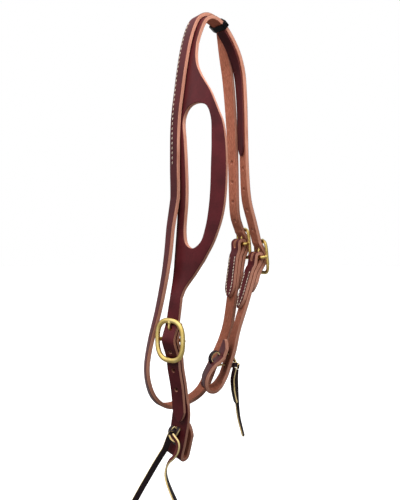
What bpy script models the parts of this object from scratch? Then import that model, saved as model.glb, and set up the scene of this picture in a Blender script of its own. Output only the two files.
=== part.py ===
"""A western slot-ear headstall with a throat strap, hanging by its crown.

Each strap is made as a saddler makes it: a flat blank is cut to its outline, slotted and
punched, and is then laid along the route on which it hangs. The horse's nose is +X, its
near (left) side is -Y, and the inside of the crown's top is z = 0. Units are metres.
"""
import math

import bmesh
import bpy
import numpy as np
from mathutils import Matrix, Vector

# Driving sizes of the whole headstall
hang_height = 0.486
half_spread = 0.060

# Leather: 16 mm straps of heavy harness leather, with a thinner lining
strap_width = 0.016
leather = 0.0046
edge_break = 0.0006
lining_leather = 0.0022
lining_width = 0.0145
tip_length = 0.011
tip_blunt = 0.0024
punch = 0.0046
stretched_hole = 0.0088

# Ear panel, cut in one piece with the cheek strap
panel_reach = 0.0600
panel_length = 0.281
panel_curl_radius = 0.147
ear_slot_width = 0.0405
ear_slot_length = 0.155

# Bit ends, folded to a loop and tied
bit_end_width = 0.0238
bit_end_flare = 0.026
near_paddle = 0.088
near_loop_gap = 0.0050
near_bit_top = 0.0045
far_loop_lap = 0.137

# Brass buckles: the outer size of each frame
near_frame_width = 0.0415
near_frame_height = 0.048
near_rail = 0.0058
near_bar = 0.0046
near_set_back = 0.008
cheek_frame_width = 0.0305
cheek_frame_height = 0.043
throat_frame_width = 0.0295
throat_frame_height = 0.039
far_rail = 0.0044
far_bar = 0.0040
far_set_back = 0.007
tongue_pin = 0.0028
tongue_collar_width = 0.0042
tongue_collar_wall = 0.0014
tongue_overhang = 0.0022
chape_slot_width = 0.0060
chape_slot_length = 0.0310
cheek_chape_length = 0.070
throat_chape_length = 0.069
rail_flatten_share = 0.82
near_squareness = 2.7
far_squareness = 4.2

# Holes punched in the straps
near_hole_pitch = 0.0215
far_hole_pitch = 0.0245
near_spare_holes = 3
far_spare_holes = 4

# Keeper round both crown straps, and the lace ties
keeper_width = 0.0080
keeper_leather = 0.0014
keeper_room = 0.0007
lace_width = 0.0052
lace_thickness = 0.0019
lace_strand = 0.0028
lace_hole = 0.0050
lace_spacing = 0.0090
far_lace_spacing = 0.0130
far_bight_rise = 0.0050
near_tail_width = 0.0068
near_tail_thickness = 0.0022
tie_knot_radius = 0.0046
tie_knot_strand = 0.0030

# Clearances and the overrun of cuts
seat_gap = 0.0004
crown_gap = 0.0006
tail_gap = 0.0009
side_gap = 0.0005
pivot_gap = 0.00035
overrun = 0.004

# Points closer than this are one
weld = 0.000001

# How finely a blank is creased where it bends, and the angle under which it counts as flat
longest_crease = 0.0130
crease_turn = 0.15
flat_angle = 0.001
panel_creases = 5
rail_points = 28

# The way the straps hang, read from the photograph. Each row is the place of a strap's
# centre, to the front in strap widths, to the side in half spreads and down in hang
# heights, and then the turn of its front edge towards the far side in degrees.
near_tail_shares = (
    (0.20, -0.750, -0.9196, 2),
    (0.26, -0.825, -0.8476, 4),
    (0.22, -0.895, -0.8006, 6),
)
crown_shares = (
    (0.36, -0.883, -0.6486, 1),
    (0.20, -0.783, -0.6026, -8),
    (0.06, -0.708, -0.5416, -15),
    (0.19, -0.667, -0.4236, -16),
    (0.12, -0.663, -0.3416, -15),
    (0.02, -0.628, -0.2486, -14),
    (0.06, -0.548, -0.1726, -13),
    (0.10, -0.485, -0.1216, -12),
    (0.14, -0.398, -0.0736, -11),
    (0.16, -0.296, -0.0386, -10),
    (0.16, -0.165, -0.0120, -10),
    (0.14, -0.015, -0.0010, -11),
    (0.14, 0.125, 0.0000, -12),
    (0.18, 0.250, -0.0050, -12),
    (0.24, 0.370, -0.0155, -12),
    (0.31, 0.470, -0.0290, -12),
    (0.38, 0.570, -0.0460, -12),
    (0.43, 0.665, -0.0655, -12),
    (0.47, 0.745, -0.0870, -14),
    (0.49, 0.820, -0.1170, -18),
    (0.51, 0.868, -0.1706, -22),
    (0.51, 0.903, -0.2596, -24),
    (0.51, 0.930, -0.3476, -22),
    (0.53, 0.985, -0.4176, -18),
    (0.66, 1.105, -0.4696, -19),
)
throat_far_shares = (
    (-0.62, 0.698, -0.0776, -8),
    (-0.61, 0.755, -0.1076, -5),
    (-0.60, 0.803, -0.1476, -5),
    (-0.59, 0.862, -0.2196, -8),
    (-0.61, 0.925, -0.3196, -12),
    (-0.68, 0.975, -0.4226, -14),
    (-0.80, 1.050, -0.4576, -16),
)
throat_under_shares = (
    (-0.82, 0.945, -0.6626, -10),
    (-0.94, 0.865, -0.7266, -10),
    (-1.12, 0.750, -0.7696, -10),
    (-1.38, 0.530, -0.8216, -10),
    (-1.52, 0.340, -0.8676, -10),
    (-1.62, 0.130, -0.8886, -10),
    (-1.74, -0.230, -0.9006, -10),
    (-1.86, -0.620, -0.8996, -12),
    (-1.90, -0.920, -0.8686, -24),
    (-1.86, -1.065, -0.8096, -32),
    (-1.74, -0.980, -0.7386, -31),
    (-1.34, -0.935, -0.6876, -29),
    (-0.80, -0.900, -0.6126, -26),
    (-0.65, -0.830, -0.5476, -23),
    (-0.60, -0.780, -0.4876, -21),
)
cheek_under_shares = (
    (0.74, 0.880, -0.6596, -24),
    (0.70, 0.710, -0.7076, -26),
    (0.58, 0.600, -0.7486, -28),
    (0.42, 0.550, -0.7826, -30),
    (0.30, 0.477, -0.8116, -30),
    (0.24, 0.393, -0.8376, -30),
    (0.22, 0.210, -0.8631, -30),
    (0.22, 0.020, -0.8693, -30),
    (0.22, -0.130, -0.8616, -30),
    (0.22, -0.163, -0.8466, -30),
    (0.22, -0.112, -0.8316, -30),
    (0.23, 0.053, -0.8119, -30),
    (0.26, 0.277, -0.7971, -30),
    (0.30, 0.350, -0.7836, -30),
    (0.34, 0.400, -0.7676, -30),
    (0.36, 0.415, -0.7516, -30),
)
near_inner_leg_shares = (
    (-0.10, -0.9290, 2),
    (-0.37, -0.9576, 1),
    (-0.72, -0.9976, 0),
)
near_outer_leg_shares = ((-0.40, -0.9606, 1),)
near_leg_side_share = -0.645
near_leg_tilt = 13.0

# Where the throat strap lies on the cheek strap: down in hang heights on the near side,
# and how far back its centre is in strap widths
throat_slide_shares = (
    (-0.4276, 0.58),
    (-0.2476, 0.44),
    (-0.1216, 0.40),
    (-0.0676, 0.44),
)

# Where it moves off behind the cheek strap at the crown and goes inside it: out to the far
# side in half spreads, how far back in strap widths, and how many layers outside
parting_shares = (
    (-0.250, 0.50, 1.00),
    (0.000, 0.52, 1.00),
    (0.260, 0.56, 1.00),
    (0.400, 0.56, 1.00),
    (0.450, 0.75, 1.00),
    (0.500, 1.04, 0.95),
    (0.560, 1.10, 0.45),
)

# Buckle centres in the same shares, their turn and their lean outwards at the bottom
near_seat_share = (0.23, -1.000, -0.7366)
near_seat_turn = 6.0
near_seat_lean = 0.0
cheek_seat_share = (0.84, 1.345, -0.5556)
cheek_seat_turn = -20.0
cheek_seat_lean = 6.0
cheek_leave = 37.0
throat_seat_share = (-0.84, 1.320, -0.5226)
throat_seat_turn = -16.0
throat_seat_lean = 6.0
throat_leave = 32.0

# Ear panel: along its length and out over its reach, and then its slot, along its length
# and across its width
panel_outline_shares = (
    (0.053, 0.05),
    (0.089, 0.11),
    (0.114, 0.18),
    (0.146, 0.29),
    (0.181, 0.43),
    (0.221, 0.59),
    (0.274, 0.74),
    (0.313, 0.83),
    (0.352, 0.91),
    (0.423, 0.975),
    (0.527, 1.00),
    (0.662, 0.95),
    (0.730, 0.87),
    (0.800, 0.74),
    (0.861, 0.56),
    (0.900, 0.39),
    (0.940, 0.20),
    (0.972, 0.06),
)
ear_slot_shares = (
    (0.00, 0.42),
    (0.035, 0.80),
    (0.13, 0.987),
    (0.28, 1.03),
    (0.44, 1.02),
    (0.71, 0.96),
    (0.84, 0.89),
    (0.95, 0.74),
    (1.00, 0.44),
    (0.965, 0.13),
    (0.88, 0.00),
    (0.66, 0.013),
    (0.44, 0.01),
    (0.25, -0.05),
    (0.09, -0.12),
    (0.02, 0.06),
)
panel_foot_share = -0.6421
ear_slot_foot_share = 0.190

# Lengths along the straps where things are, as shares of the hang height
cheek_tip_share = 0.093
throat_tip_share = 0.121
keeper_side_share = 0.310
liner_end_share = 0.320
near_tie_share = 0.060
far_tie_inner_share = -0.7896
far_tie_outer_share = -0.8036
far_tie_across_share = -0.10
far_knot_share = (1.22, 0.485, -0.8106)
near_tie_across_share = -0.15

# The free ends of the laces, in metres
near_long_tail = (
    (-0.0122, -0.0469, -0.4657),
    (-0.0180, -0.0474, -0.4782),
    (-0.0245, -0.0485, -0.4877),
    (-0.0325, -0.0499, -0.4997),
    (-0.0410, -0.0515, -0.5132),
    (-0.0505, -0.0533, -0.5282),
    (-0.0606, -0.0552, -0.5447),
    (-0.0690, -0.0566, -0.5582),
)
near_short_tail = (
    (-0.0059, -0.0476, -0.4611),
    (0.0025, -0.0478, -0.4677),
    (0.0022, -0.0480, -0.4757),
    (-0.0035, -0.0482, -0.4842),
    (-0.0100, -0.0484, -0.4902),
    (-0.0148, -0.0484, -0.4982),
    (-0.0160, -0.0482, -0.5067),
    (-0.0125, -0.0478, -0.5162),
    (-0.0070, -0.0472, -0.5252),
    (-0.0015, -0.0466, -0.5337),
    (0.0020, -0.0460, -0.5422),
)
far_front_tail = (
    (0.0195, 0.0286, -0.3965),
    (0.0188, 0.0285, -0.4067),
    (0.0186, 0.0292, -0.4167),
    (0.0186, 0.0300, -0.4287),
    (0.0190, 0.0308, -0.4407),
    (0.0200, 0.0320, -0.4527),
    (0.0222, 0.0336, -0.4637),
    (0.0245, 0.0350, -0.4737),
)
far_back_tail = (
    (0.0200, 0.0250, -0.3935),
    (0.0178, 0.0234, -0.4067),
    (0.0180, 0.0234, -0.4137),
    (0.0186, 0.0238, -0.4207),
    (0.0198, 0.0246, -0.4277),
    (0.0212, 0.0258, -0.4347),
)

layer = leather + seat_gap
collection = bpy.data.collections.new("western_headstall")
cutters = bpy.data.collections.new("cutters")
grain_finish = ((0.13, 0.022, 0.026), 0.42, 0.0)
lining_finish = ((0.10, 0.025, 0.026), 0.50, 0.0)
brass_finish = ((0.80, 0.60, 0.25), 0.25, 1.0)
lace_finish = ((0.02, 0.012, 0.016), 0.55, 0.0)


def clear_scene():
    for item in list(bpy.data.objects):
        bpy.data.objects.remove(item, do_unlink=True)
    bpy.context.scene.collection.children.link(collection)
    bpy.context.scene.collection.children.link(cutters)


def material(name, colour, roughness, metallic):
    made = bpy.data.materials.new(name)
    made.use_nodes = True
    shader = made.node_tree.nodes["Principled BSDF"]
    shader.inputs["Base Color"].default_value = (*colour, 1.0)
    shader.inputs["Roughness"].default_value = roughness
    shader.inputs["Metallic"].default_value = metallic
    return made


def finish(mesh, name, surface, origin=None, sharp_degrees=35.0):
    """Make a named part of a mesh, with its own material and its origin where it pivots."""
    made = bpy.data.objects.new(name, mesh)
    mesh.name = name
    collection.objects.link(made)
    mesh.materials.clear()
    mesh.materials.append(material(name, *surface))
    mesh.shade_smooth()
    mesh.set_sharp_from_angle(angle=math.radians(sharp_degrees))
    if origin is not None:
        mesh.transform(origin.inverted())
        made.matrix_world = origin
    return made


def face_outwards(shape):
    """Turn every face of a closed shape outwards."""
    bmesh.ops.recalc_face_normals(shape, faces=shape.faces)
    if shape.calc_volume(signed=True) < 0:
        bmesh.ops.reverse_faces(shape, faces=shape.faces)


def mesh_of(item):
    """The finished mesh of an object with its doubles merged; the object goes."""
    graph = bpy.context.evaluated_depsgraph_get()
    mesh = bpy.data.meshes.new_from_object(item.evaluated_get(graph))
    mesh.transform(item.matrix_world)
    bpy.data.objects.remove(item, do_unlink=True)
    shape = bmesh.new()
    shape.from_mesh(mesh)
    bmesh.ops.remove_doubles(shape, verts=shape.verts, dist=weld)
    face_outwards(shape)
    shape.to_mesh(mesh)
    shape.free()
    return mesh


def combine(mesh, tools, operation, crossing=False):
    """Cut tools from a mesh, or join them to it; a crossing one also meets itself."""
    item = bpy.data.objects.new("work", mesh)
    collection.objects.link(item)
    helpers = []
    for tool in tools:
        helper = bpy.data.objects.new("tool", tool)
        cutters.objects.link(helper)
        helper.hide_render = True
        helper.display_type = "WIRE"
        change = item.modifiers.new("change", "BOOLEAN")
        change.operation = operation
        change.solver = "EXACT"
        change.use_self = crossing
        change.object = helper
        helpers.append(helper)
    graph = bpy.context.evaluated_depsgraph_get()
    result = bpy.data.meshes.new_from_object(item.evaluated_get(graph))
    for used in [item, *helpers]:
        bpy.data.objects.remove(used, do_unlink=True)
    shape = bmesh.new()
    shape.from_mesh(result)
    bmesh.ops.remove_doubles(shape, verts=shape.verts, dist=weld)
    bmesh.ops.dissolve_degenerate(shape, edges=shape.edges, dist=weld)
    shape.to_mesh(result)
    shape.free()
    return result


def fill_hollows(mesh):
    """Drop the shells that face inwards: the closed hollows inside a drawn-up knot."""
    shape = bmesh.new()
    shape.from_mesh(mesh)
    left = set(shape.faces)
    while left:
        shell = [left.pop()]
        for face in shell:
            for edge in face.edges:
                for other in edge.link_faces:
                    if other in left:
                        left.remove(other)
                        shell.append(other)
        size = sum(face.calc_center_median().dot(face.normal) * face.calc_area() for face in shell)
        if size < 0:
            bmesh.ops.delete(shape, geom=shell, context="FACES")
            left = {face for face in left if face.is_valid}
    shape.to_mesh(mesh)
    shape.free()
    return mesh


# Curves through points


def smooth_line(rows, per_span=16, closed=False):
    """A centripetal curve through rows of any width, sampled closely."""
    rows = np.array(rows, dtype=float)
    if closed:
        rows = np.vstack([rows[-1:], rows, rows[:2]])
    else:
        rows = np.vstack([2 * rows[0] - rows[1], rows, 2 * rows[-1] - rows[-2]])
    samples = []
    for first in range(len(rows) - 3):
        p = rows[first : first + 4]
        steps = np.sqrt(np.linalg.norm(np.diff(p[:, :3], axis=0), axis=1))
        knots = np.concatenate([[0.0], np.cumsum(steps)])
        for share in np.linspace(0, 1, per_span, endpoint=False):
            now = knots[1] + share * (knots[2] - knots[1])
            a = [blend_pair(p, knots, i, i + 1, now) for i in range(3)]
            b = [blend_between(a[i], a[i + 1], knots[i], knots[i + 2], now) for i in range(2)]
            samples.append(blend_between(b[0], b[1], knots[1], knots[2], now))
    if not closed:
        samples.append(rows[-2])
    return np.array(samples)


def blend_pair(p, knots, i, j, now):
    return blend_between(p[i], p[j], knots[i], knots[j], now)


def blend_between(start, end, first, last, now):
    return ((last - now) * start + (now - first) * end) / (last - first)


class Route:
    """The line of a strap's mid thickness, with the way to its front edge and its grain side."""

    def __init__(self, rows):
        rows = np.asarray(rows, dtype=float)
        moved = np.linalg.norm(np.diff(rows[:, :3], axis=0), axis=1)
        self.rows = rows[np.concatenate([[True], moved > weld / 10])]
        self.points = self.rows[:, :3]
        steps = np.linalg.norm(np.diff(self.points, axis=0), axis=1)
        self.along = np.concatenate([[0.0], np.cumsum(steps)])
        self.length = self.along[-1]
        ahead = np.gradient(self.points, self.along, axis=0)
        self.ahead = ahead / np.linalg.norm(ahead, axis=1)[:, None]
        turn = self.rows[:, 3]
        tilt = self.rows[:, 4]
        level = np.cos(tilt)
        front = np.stack([np.cos(turn) * level, np.sin(turn) * level, -np.sin(tilt)], axis=1)
        front -= (front * self.ahead).sum(axis=1)[:, None] * self.ahead
        self.front = front / np.linalg.norm(front, axis=1)[:, None]
        self.out = np.cross(self.front, self.ahead)

    def read(self, values, along):
        return np.array([np.interp(along, self.along, values[:, i]) for i in range(values.shape[1])])

    def place(self, along, across=0.0, out=0.0):
        """The world point at a length along the strap, to its front edge and out of it."""
        front = self.read(self.front, along)
        grain = self.read(self.out, along)
        return self.read(self.points, along) + across * front + out * grain

    def frame(self, along):
        front = self.read(self.front, along)
        front /= np.linalg.norm(front)
        grain = self.read(self.out, along)
        grain /= np.linalg.norm(grain)
        return front, np.cross(grain, front), grain

    def beside(self, out, first=0.0, last=None):
        """Rows of a line beside this one, from one length along it to another."""
        last = self.length if last is None else last
        count = max(2, int(round((last - first) / (longest_crease / 4))) + 1)
        rows = []
        for along in np.linspace(first, last, count):
            point = self.place(along, 0.0, out)
            rows.append((*point, *self.read(self.rows[:, 3:], along)))
        return rows

    def where(self, height, side):
        """The length along at which the strap passes a height on one side of the horse."""
        on_side = self.points[:, 1] * side > 0
        gap = np.where(on_side, np.abs(self.points[:, 2] - height), np.inf)
        return self.along[int(np.argmin(gap))]


def hang(shares):
    """World rows from rows of shares; drops are measured from the crown's mid thickness."""
    rows = []
    for front, side, drop, turn in shares:
        place = (front * strap_width, side * half_spread, leather / 2 + drop * hang_height)
        rows.append((*place, math.radians(turn), 0.0))
    return rows


class Seat:
    """Where a buckle sits: its centre and the ways across, up and out of its frame."""

    def __init__(self, share, turn, lean, outward_side):
        self.centre = np.array(hang([(*share, turn)])[0][:3])
        self.turn = math.radians(turn)
        self.front = np.array([math.cos(self.turn), math.sin(self.turn), 0.0])
        up = np.array([0.0, -outward_side * math.sin(math.radians(lean)), math.cos(math.radians(lean))])
        up -= up.dot(self.front) * self.front
        self.up = up / np.linalg.norm(up)
        self.out = -outward_side * np.cross(self.front, self.up)
        self.side = outward_side

    def place(self, across, height, out):
        return self.centre + across * self.front + height * self.up + out * self.out

    def row(self, height, out):
        return (*self.place(0.0, height, out), self.turn, 0.0)

    def matrix(self, height=0.0, out=0.0):
        axes = Matrix((self.front, self.up, np.cross(self.front, self.up))).transposed().to_4x4()
        return Matrix.Translation(Vector(self.place(0.0, height, out))) @ axes


# Blanks of leather


def strap_outline(length, half_widths, point_start=True, point_end=True):
    """Both edges of a strap as (across, along), from a list of (along, half width)."""
    front = []
    for along, half in half_widths:
        front.append((half, along))
    start = [(tip_blunt / 2, 0.0)] if point_start else []
    end = [(tip_blunt / 2, length)] if point_end else []
    front = start + front + end
    rear = [(-across, along) for across, along in reversed(front)]
    return front + rear


def cut_blank(outline, thickness, windows=()):
    """A flat blank with broken edges, lying in the plane of its outline."""
    flat = bpy.data.curves.new("blank", "CURVE")
    flat.dimensions = "2D"
    flat.fill_mode = "BOTH"
    flat.extrude = thickness / 2 - edge_break
    flat.bevel_depth = edge_break
    flat.bevel_resolution = 0
    flat.offset = -edge_break
    for loop in [outline, *windows]:
        spline = flat.splines.new("POLY")
        spline.points.add(len(loop) - 1)
        spline.use_cyclic_u = True
        for point, (across, along) in zip(spline.points, loop):
            point.co = (across, along, 0.0, 1.0)
    item = bpy.data.objects.new("blank", flat)
    collection.objects.link(item)
    mesh = mesh_of(item)
    shape = bmesh.new()
    shape.from_mesh(mesh)
    bmesh.ops.dissolve_limit(shape, angle_limit=flat_angle, verts=shape.verts, edges=shape.edges)
    shape.to_mesh(mesh)
    shape.free()
    return mesh


def punch_cutter(across, along, depth, width=punch, stretch=None):
    """A round punch, drawn out along the strap where it is stretched."""
    made = bmesh.new()
    bmesh.ops.create_cone(
        made, cap_ends=True, segments=10, radius1=width / 2, radius2=width / 2, depth=depth + overrun
    )
    long = (width if stretch is None else stretch) / width
    bmesh.ops.scale(made, vec=(1, long, 1), verts=made.verts)
    bmesh.ops.translate(made, vec=(across, along, 0.0), verts=made.verts)
    mesh = bpy.data.meshes.new("punch")
    made.to_mesh(mesh)
    made.free()
    return mesh


def slot_cutter(along, length, width, depth):
    """A long round-ended slot in the middle of a strap."""
    loop = []
    straight = (length - width) / 2
    for end in (1, -1):
        for step in range(7):
            angle = math.pi * step / 6 + (0.0 if end > 0 else math.pi)
            loop.append((width / 2 * math.cos(angle), along + end * straight + width / 2 * math.sin(angle)))
    made = bmesh.new()
    low = [made.verts.new((x, y, -(depth + overrun) / 2)) for x, y in loop]
    face = made.faces.new(low)
    grown = bmesh.ops.extrude_face_region(made, geom=[face])
    risen = [part for part in grown["geom"] if isinstance(part, bmesh.types.BMVert)]
    bmesh.ops.translate(made, vec=(0.0, 0.0, depth + overrun), verts=risen)
    bmesh.ops.recalc_face_normals(made, faces=made.faces)
    mesh = bpy.data.meshes.new("slot")
    made.to_mesh(mesh)
    made.free()
    return mesh


def crease_places(route):
    """Lengths along a route at which a blank has to bend."""
    places = [0.0]
    last = route.ahead[0]
    last_front = route.front[0]
    for along, ahead, front in zip(route.along, route.ahead, route.front):
        turned = math.acos(max(-1.0, min(1.0, float(ahead.dot(last)))))
        twisted = math.acos(max(-1.0, min(1.0, float(front.dot(last_front)))))
        if turned > crease_turn or twisted > crease_turn or along - places[-1] > longest_crease:
            places.append(along)
            last = ahead
            last_front = front
    return places[1:]


def crease(mesh, lengthwise, crosswise=()):
    """Split a blank's faces at lengths along it, and at places across it."""
    shape = bmesh.new()
    shape.from_mesh(mesh)
    for along in lengthwise:
        parts = shape.verts[:] + shape.edges[:] + shape.faces[:]
        bmesh.ops.bisect_plane(shape, geom=parts, dist=weld, plane_co=(0, along, 0), plane_no=(0, 1, 0))
    for across in crosswise:
        parts = shape.verts[:] + shape.edges[:] + shape.faces[:]
        bmesh.ops.bisect_plane(shape, geom=parts, dist=weld, plane_co=(across, 0, 0), plane_no=(1, 0, 0))
    shape.to_mesh(mesh)
    shape.free()


def lay(mesh, route, curl_radius=None):
    """Bend a flat blank onto its route; a curl turns what reaches past the strap's middle."""
    shape = bmesh.new()
    shape.from_mesh(mesh)
    bmesh.ops.triangulate(shape, faces=shape.faces)
    for vert in shape.verts:
        across, along, out = vert.co
        if curl_radius is not None and across > 0:
            angle = across / curl_radius
            across = (curl_radius + out) * math.sin(angle)
            out = (curl_radius + out) * math.cos(angle) - curl_radius
        vert.co = route.place(along, across, out)
    face_outwards(shape)
    shape.to_mesh(mesh)
    shape.free()
    return mesh


def pointed(length, half):
    """Half widths near a strap's two pointed ends, with straight edges between."""
    rise = [(tip_length * share, half * math.sqrt(share)) for share in (0.3, 0.65, 1.0)]
    fall = [(length - along, width) for along, width in reversed(rise)]
    return rise, fall


# Wire and castings


def wire(points, radius, closed=False, resolution=2):
    """A round wire or casting rail along points, as a mesh."""
    line = bpy.data.curves.new("wire", "CURVE")
    line.dimensions = "3D"
    line.fill_mode = "FULL"
    line.bevel_depth = radius
    line.bevel_resolution = resolution
    line.use_fill_caps = not closed
    spline = line.splines.new("POLY")
    spline.points.add(len(points) - 1)
    spline.use_cyclic_u = closed
    for point, place in zip(spline.points, points):
        point.co = (*place, 1.0)
    item = bpy.data.objects.new("wire", line)
    collection.objects.link(item)
    return mesh_of(item)


def frame_ring(width, height, rail, bulge_power):
    """A buckle frame: a rounded ring of cast rail, flattened front to back."""
    points = []
    for step in range(rail_points):
        angle = 2 * math.pi * step / rail_points
        across = abs(math.cos(angle)) ** (2 / bulge_power) * (width - rail) / 2
        height_now = abs(math.sin(angle)) ** (2 / bulge_power) * (height - rail) / 2
        points.append(
            (math.copysign(across, math.cos(angle)), math.copysign(height_now, math.sin(angle)), 0.0)
        )
    mesh = wire(points, rail / 2, closed=True)
    mesh.transform(Matrix.Diagonal((1, 1, rail_flatten_share, 1)))
    return mesh


def set_back_bar(width, rail, bar, set_back, out_sign, strap_room):
    """The centre bar, bowed back from the frame so that leather passes in front of it."""
    end = (width - rail) / 2
    half = strap_room
    knee = (end + half) / 2 + bar / 8
    path = [
        (-end, 0.0, 0.0),
        (-knee, 0.0, -out_sign * set_back * 0.62),
        (-half, 0.0, -out_sign * set_back),
        (half, 0.0, -out_sign * set_back),
        (knee, 0.0, -out_sign * set_back * 0.62),
        (end, 0.0, 0.0),
    ]
    return wire(path, bar / 2)


class Buckle:
    """One buckle's sizes, and the lines that leather takes through it."""

    def __init__(self, seat, width, height, rail, bar, set_back, squareness, leave=None):
        self.seat = seat
        self.leave = leave
        self.squareness = squareness
        self.width = width
        self.height = height
        self.rail = rail
        self.bar = bar
        self.set_back = set_back
        self.half_height = (height - rail) / 2
        self.rail_half_depth = rail * rail_flatten_share / 2
        self.wrap_radius = bar / 2 + seat_gap + leather / 2
        self.over_radius = self.wrap_radius + layer
        self.rail_radius = rail / 2 + seat_gap + leather / 2

    def over_rows(self):
        """Rows of the strap over the bar, drawn straight from its curve to the curve inside each rail."""
        apart = math.hypot(self.half_height, self.set_back)
        slope = math.asin((self.over_radius + self.rail_radius) / apart)
        slope -= math.atan2(self.set_back, self.half_height)
        upper = []
        for share in (0.0, 0.5, 1.0):
            angle = slope * share
            height = self.half_height - self.rail_radius * math.sin(angle)
            upper.append((height, -self.rail_radius * math.cos(angle)))
        for share in (1.0, 0.5):
            angle = slope * share
            height = self.over_radius * math.sin(angle)
            upper.append((height, self.over_radius * math.cos(angle) - self.set_back))
        middle = [(0.0, self.over_radius - self.set_back)]
        if self.leave is None:
            lower = [(-height, out) for height, out in reversed(upper)]
        else:
            lower = []
            angle = math.radians(self.leave)
            for share in (0.33, 0.67, 1.0):
                height = -self.over_radius * math.sin(angle * share)
                lower.append((height, self.over_radius * math.cos(angle * share) - self.set_back))
            fall = self.half_height + height
            lower.append((height - fall, lower[-1][1] - fall * math.tan(angle)))
        return [self.seat.row(height, out) for height, out in [*upper, *middle, *lower]]

    def wrap_rows(self):
        """Rows of a chape round the bar, from its inner leg over the top to its outer leg."""
        rows = []
        for degrees in (0, 30, 60, 90, 120, 150):
            angle = math.radians(degrees)
            height = self.wrap_radius * math.sin(angle)
            out = -self.set_back - self.wrap_radius * math.cos(angle)
            rows.append(self.seat.row(height, out))
        return rows

    def under_rows(self):
        """Rows of the chape's outer leg, one layer inside the strap that passes over it."""
        rows = self.over_rows()
        line = Route(smooth_line(rows))
        middle = self.seat.place(0.0, 0.0, self.over_radius - self.set_back)
        first = line.along[int(np.argmin(np.linalg.norm(line.points - middle, axis=1)))]
        return line.beside(-layer, first, line.length)

    def casting(self, tongue=None):
        room = (strap_width + self.bar) / 2 + side_gap
        bar = set_back_bar(self.width, self.rail, self.bar, self.set_back, -self.seat.side, room)
        ring = frame_ring(self.width, self.height, self.rail, self.squareness)
        body = combine(ring, [bar], "UNION")
        body.transform(self.seat.matrix())
        if tongue is not None:
            body = combine(body, [tongue], "UNION")
        return body


# The lines on which everything hangs


near_seat = Seat(near_seat_share, near_seat_turn, near_seat_lean, -1)
cheek_seat = Seat(cheek_seat_share, cheek_seat_turn, cheek_seat_lean, 1)
throat_seat = Seat(throat_seat_share, throat_seat_turn, throat_seat_lean, 1)
near_buckle = Buckle(near_seat, near_frame_width, near_frame_height, near_rail, near_bar, near_set_back,
                     near_squareness)
cheek_buckle = Buckle(cheek_seat, cheek_frame_width, cheek_frame_height, far_rail, far_bar, far_set_back,
                      far_squareness, cheek_leave)
throat_buckle = Buckle(throat_seat, throat_frame_width, throat_frame_height, far_rail, far_bar, far_set_back,
                       far_squareness, throat_leave)


def folded_route(buckle, own_rows, chape_length):
    """A strap folded round a buckle's bar: the inner leg, the wrap and the strap's own way on."""
    main = Route(smooth_line([*buckle.under_rows(), *own_rows]))
    start = buckle.half_height * 0.75
    inner = main.beside(-layer, start, chape_length)
    rows = [*reversed(inner), *buckle.wrap_rows(), *main.rows[:: 8].tolist()]
    if np.linalg.norm(np.array(rows[-1][:3]) - main.rows[-1][:3]) > weld:
        rows.append(tuple(main.rows[-1]))
    return main, Route(smooth_line(rows, per_span=8))


cheek_under, cheek_lower_route = folded_route(cheek_buckle, hang(cheek_under_shares), cheek_chape_length)


def crown_route():
    """Near tip, near buckle, crown, far cheek buckle and the billet's tip outside."""
    rows = hang(near_tail_shares)
    rows += list(reversed(near_buckle.over_rows()))
    rows += hang(crown_shares)
    rows += cheek_buckle.over_rows()
    first = cheek_buckle.half_height * 1.5
    rows += cheek_under.beside(layer, first, cheek_tip_share * hang_height)
    return Route(smooth_line(rows, per_span=10))


cheek_route = crown_route()


def throat_route():
    """Far chape, under the jaw, up over the crown, and down to the same buckle."""
    table = []
    for drop, back in throat_slide_shares:
        table.append((cheek_route.where(leather / 2 + drop * hang_height, -1), back, 1.0))
    for side, back, rise in parting_shares:
        table.append((far_along(side), back, rise))
    places, backs, rises = zip(*table)
    over = []
    count = int((places[-1] - places[0]) / (longest_crease / 2))
    for along in np.linspace(places[0], places[-1], count):
        back = float(np.interp(along, places, backs)) * strap_width
        rise = float(np.interp(along, places, rises)) * (leather + crown_gap)
        turn_and_tilt = cheek_route.read(cheek_route.rows[:, 3:], along)
        over.append((*cheek_route.place(along, -back, rise), *turn_and_tilt))
    rows = [*hang(throat_under_shares), *over, *hang(throat_far_shares), *throat_buckle.over_rows()]
    main, folded = folded_route(throat_buckle, rows, throat_chape_length)
    tip_start = throat_buckle.half_height * 1.5
    tip = main.beside(layer, tip_start, throat_tip_share * hang_height)
    return Route(smooth_line([*folded.rows[:: 6].tolist(), *tip], per_span=6))


def far_along(side_share):
    """The length along the crown at which it has come this far out to the far side."""
    far = cheek_route.points[:, 1] >= side_share * half_spread
    return cheek_route.along[int(np.argmax(far))]


def keeper_place():
    return far_along(keeper_side_share)


throat_line = throat_route()


def near_bit_route():
    """Inner leg down, round the fold, and up behind the near tail to the buckle's top rail."""
    outer_side = near_leg_side_share * half_spread
    radius = (near_loop_gap + leather) / 2
    inner_side = outer_side + 2 * radius
    tilt = math.radians(near_leg_tilt)
    rows = []
    for front, drop, turn in near_inner_leg_shares:
        place = (front * strap_width, inner_side, leather / 2 + drop * hang_height)
        rows.append((*place, math.radians(turn), tilt))
    centre = np.array([rows[-1][0], (inner_side + outer_side) / 2, rows[-1][2]])
    down = np.array([-math.sin(tilt), 0.0, -math.cos(tilt)])
    for degrees in (36, 72, 108, 144, 180):
        angle = math.radians(degrees)
        place = centre + radius * (math.sin(angle) * down + math.cos(angle) * np.array([0.0, 1.0, 0.0]))
        rows.append((*place, 0.0, tilt))
    for front, drop, turn in near_outer_leg_shares:
        place = (front * strap_width, outer_side, leather / 2 + drop * hang_height)
        rows.append((*place, math.radians(turn), tilt))
    top = near_buckle.seat.centre[2] + near_buckle.half_height + near_bit_top
    last = cheek_route.where(top, -1)
    rows += cheek_route.beside(-leather - tail_gap, 1.5 * tip_length, last)
    return Route(smooth_line(rows, per_span=10))


near_bit_line = near_bit_route()


# Straps


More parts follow.
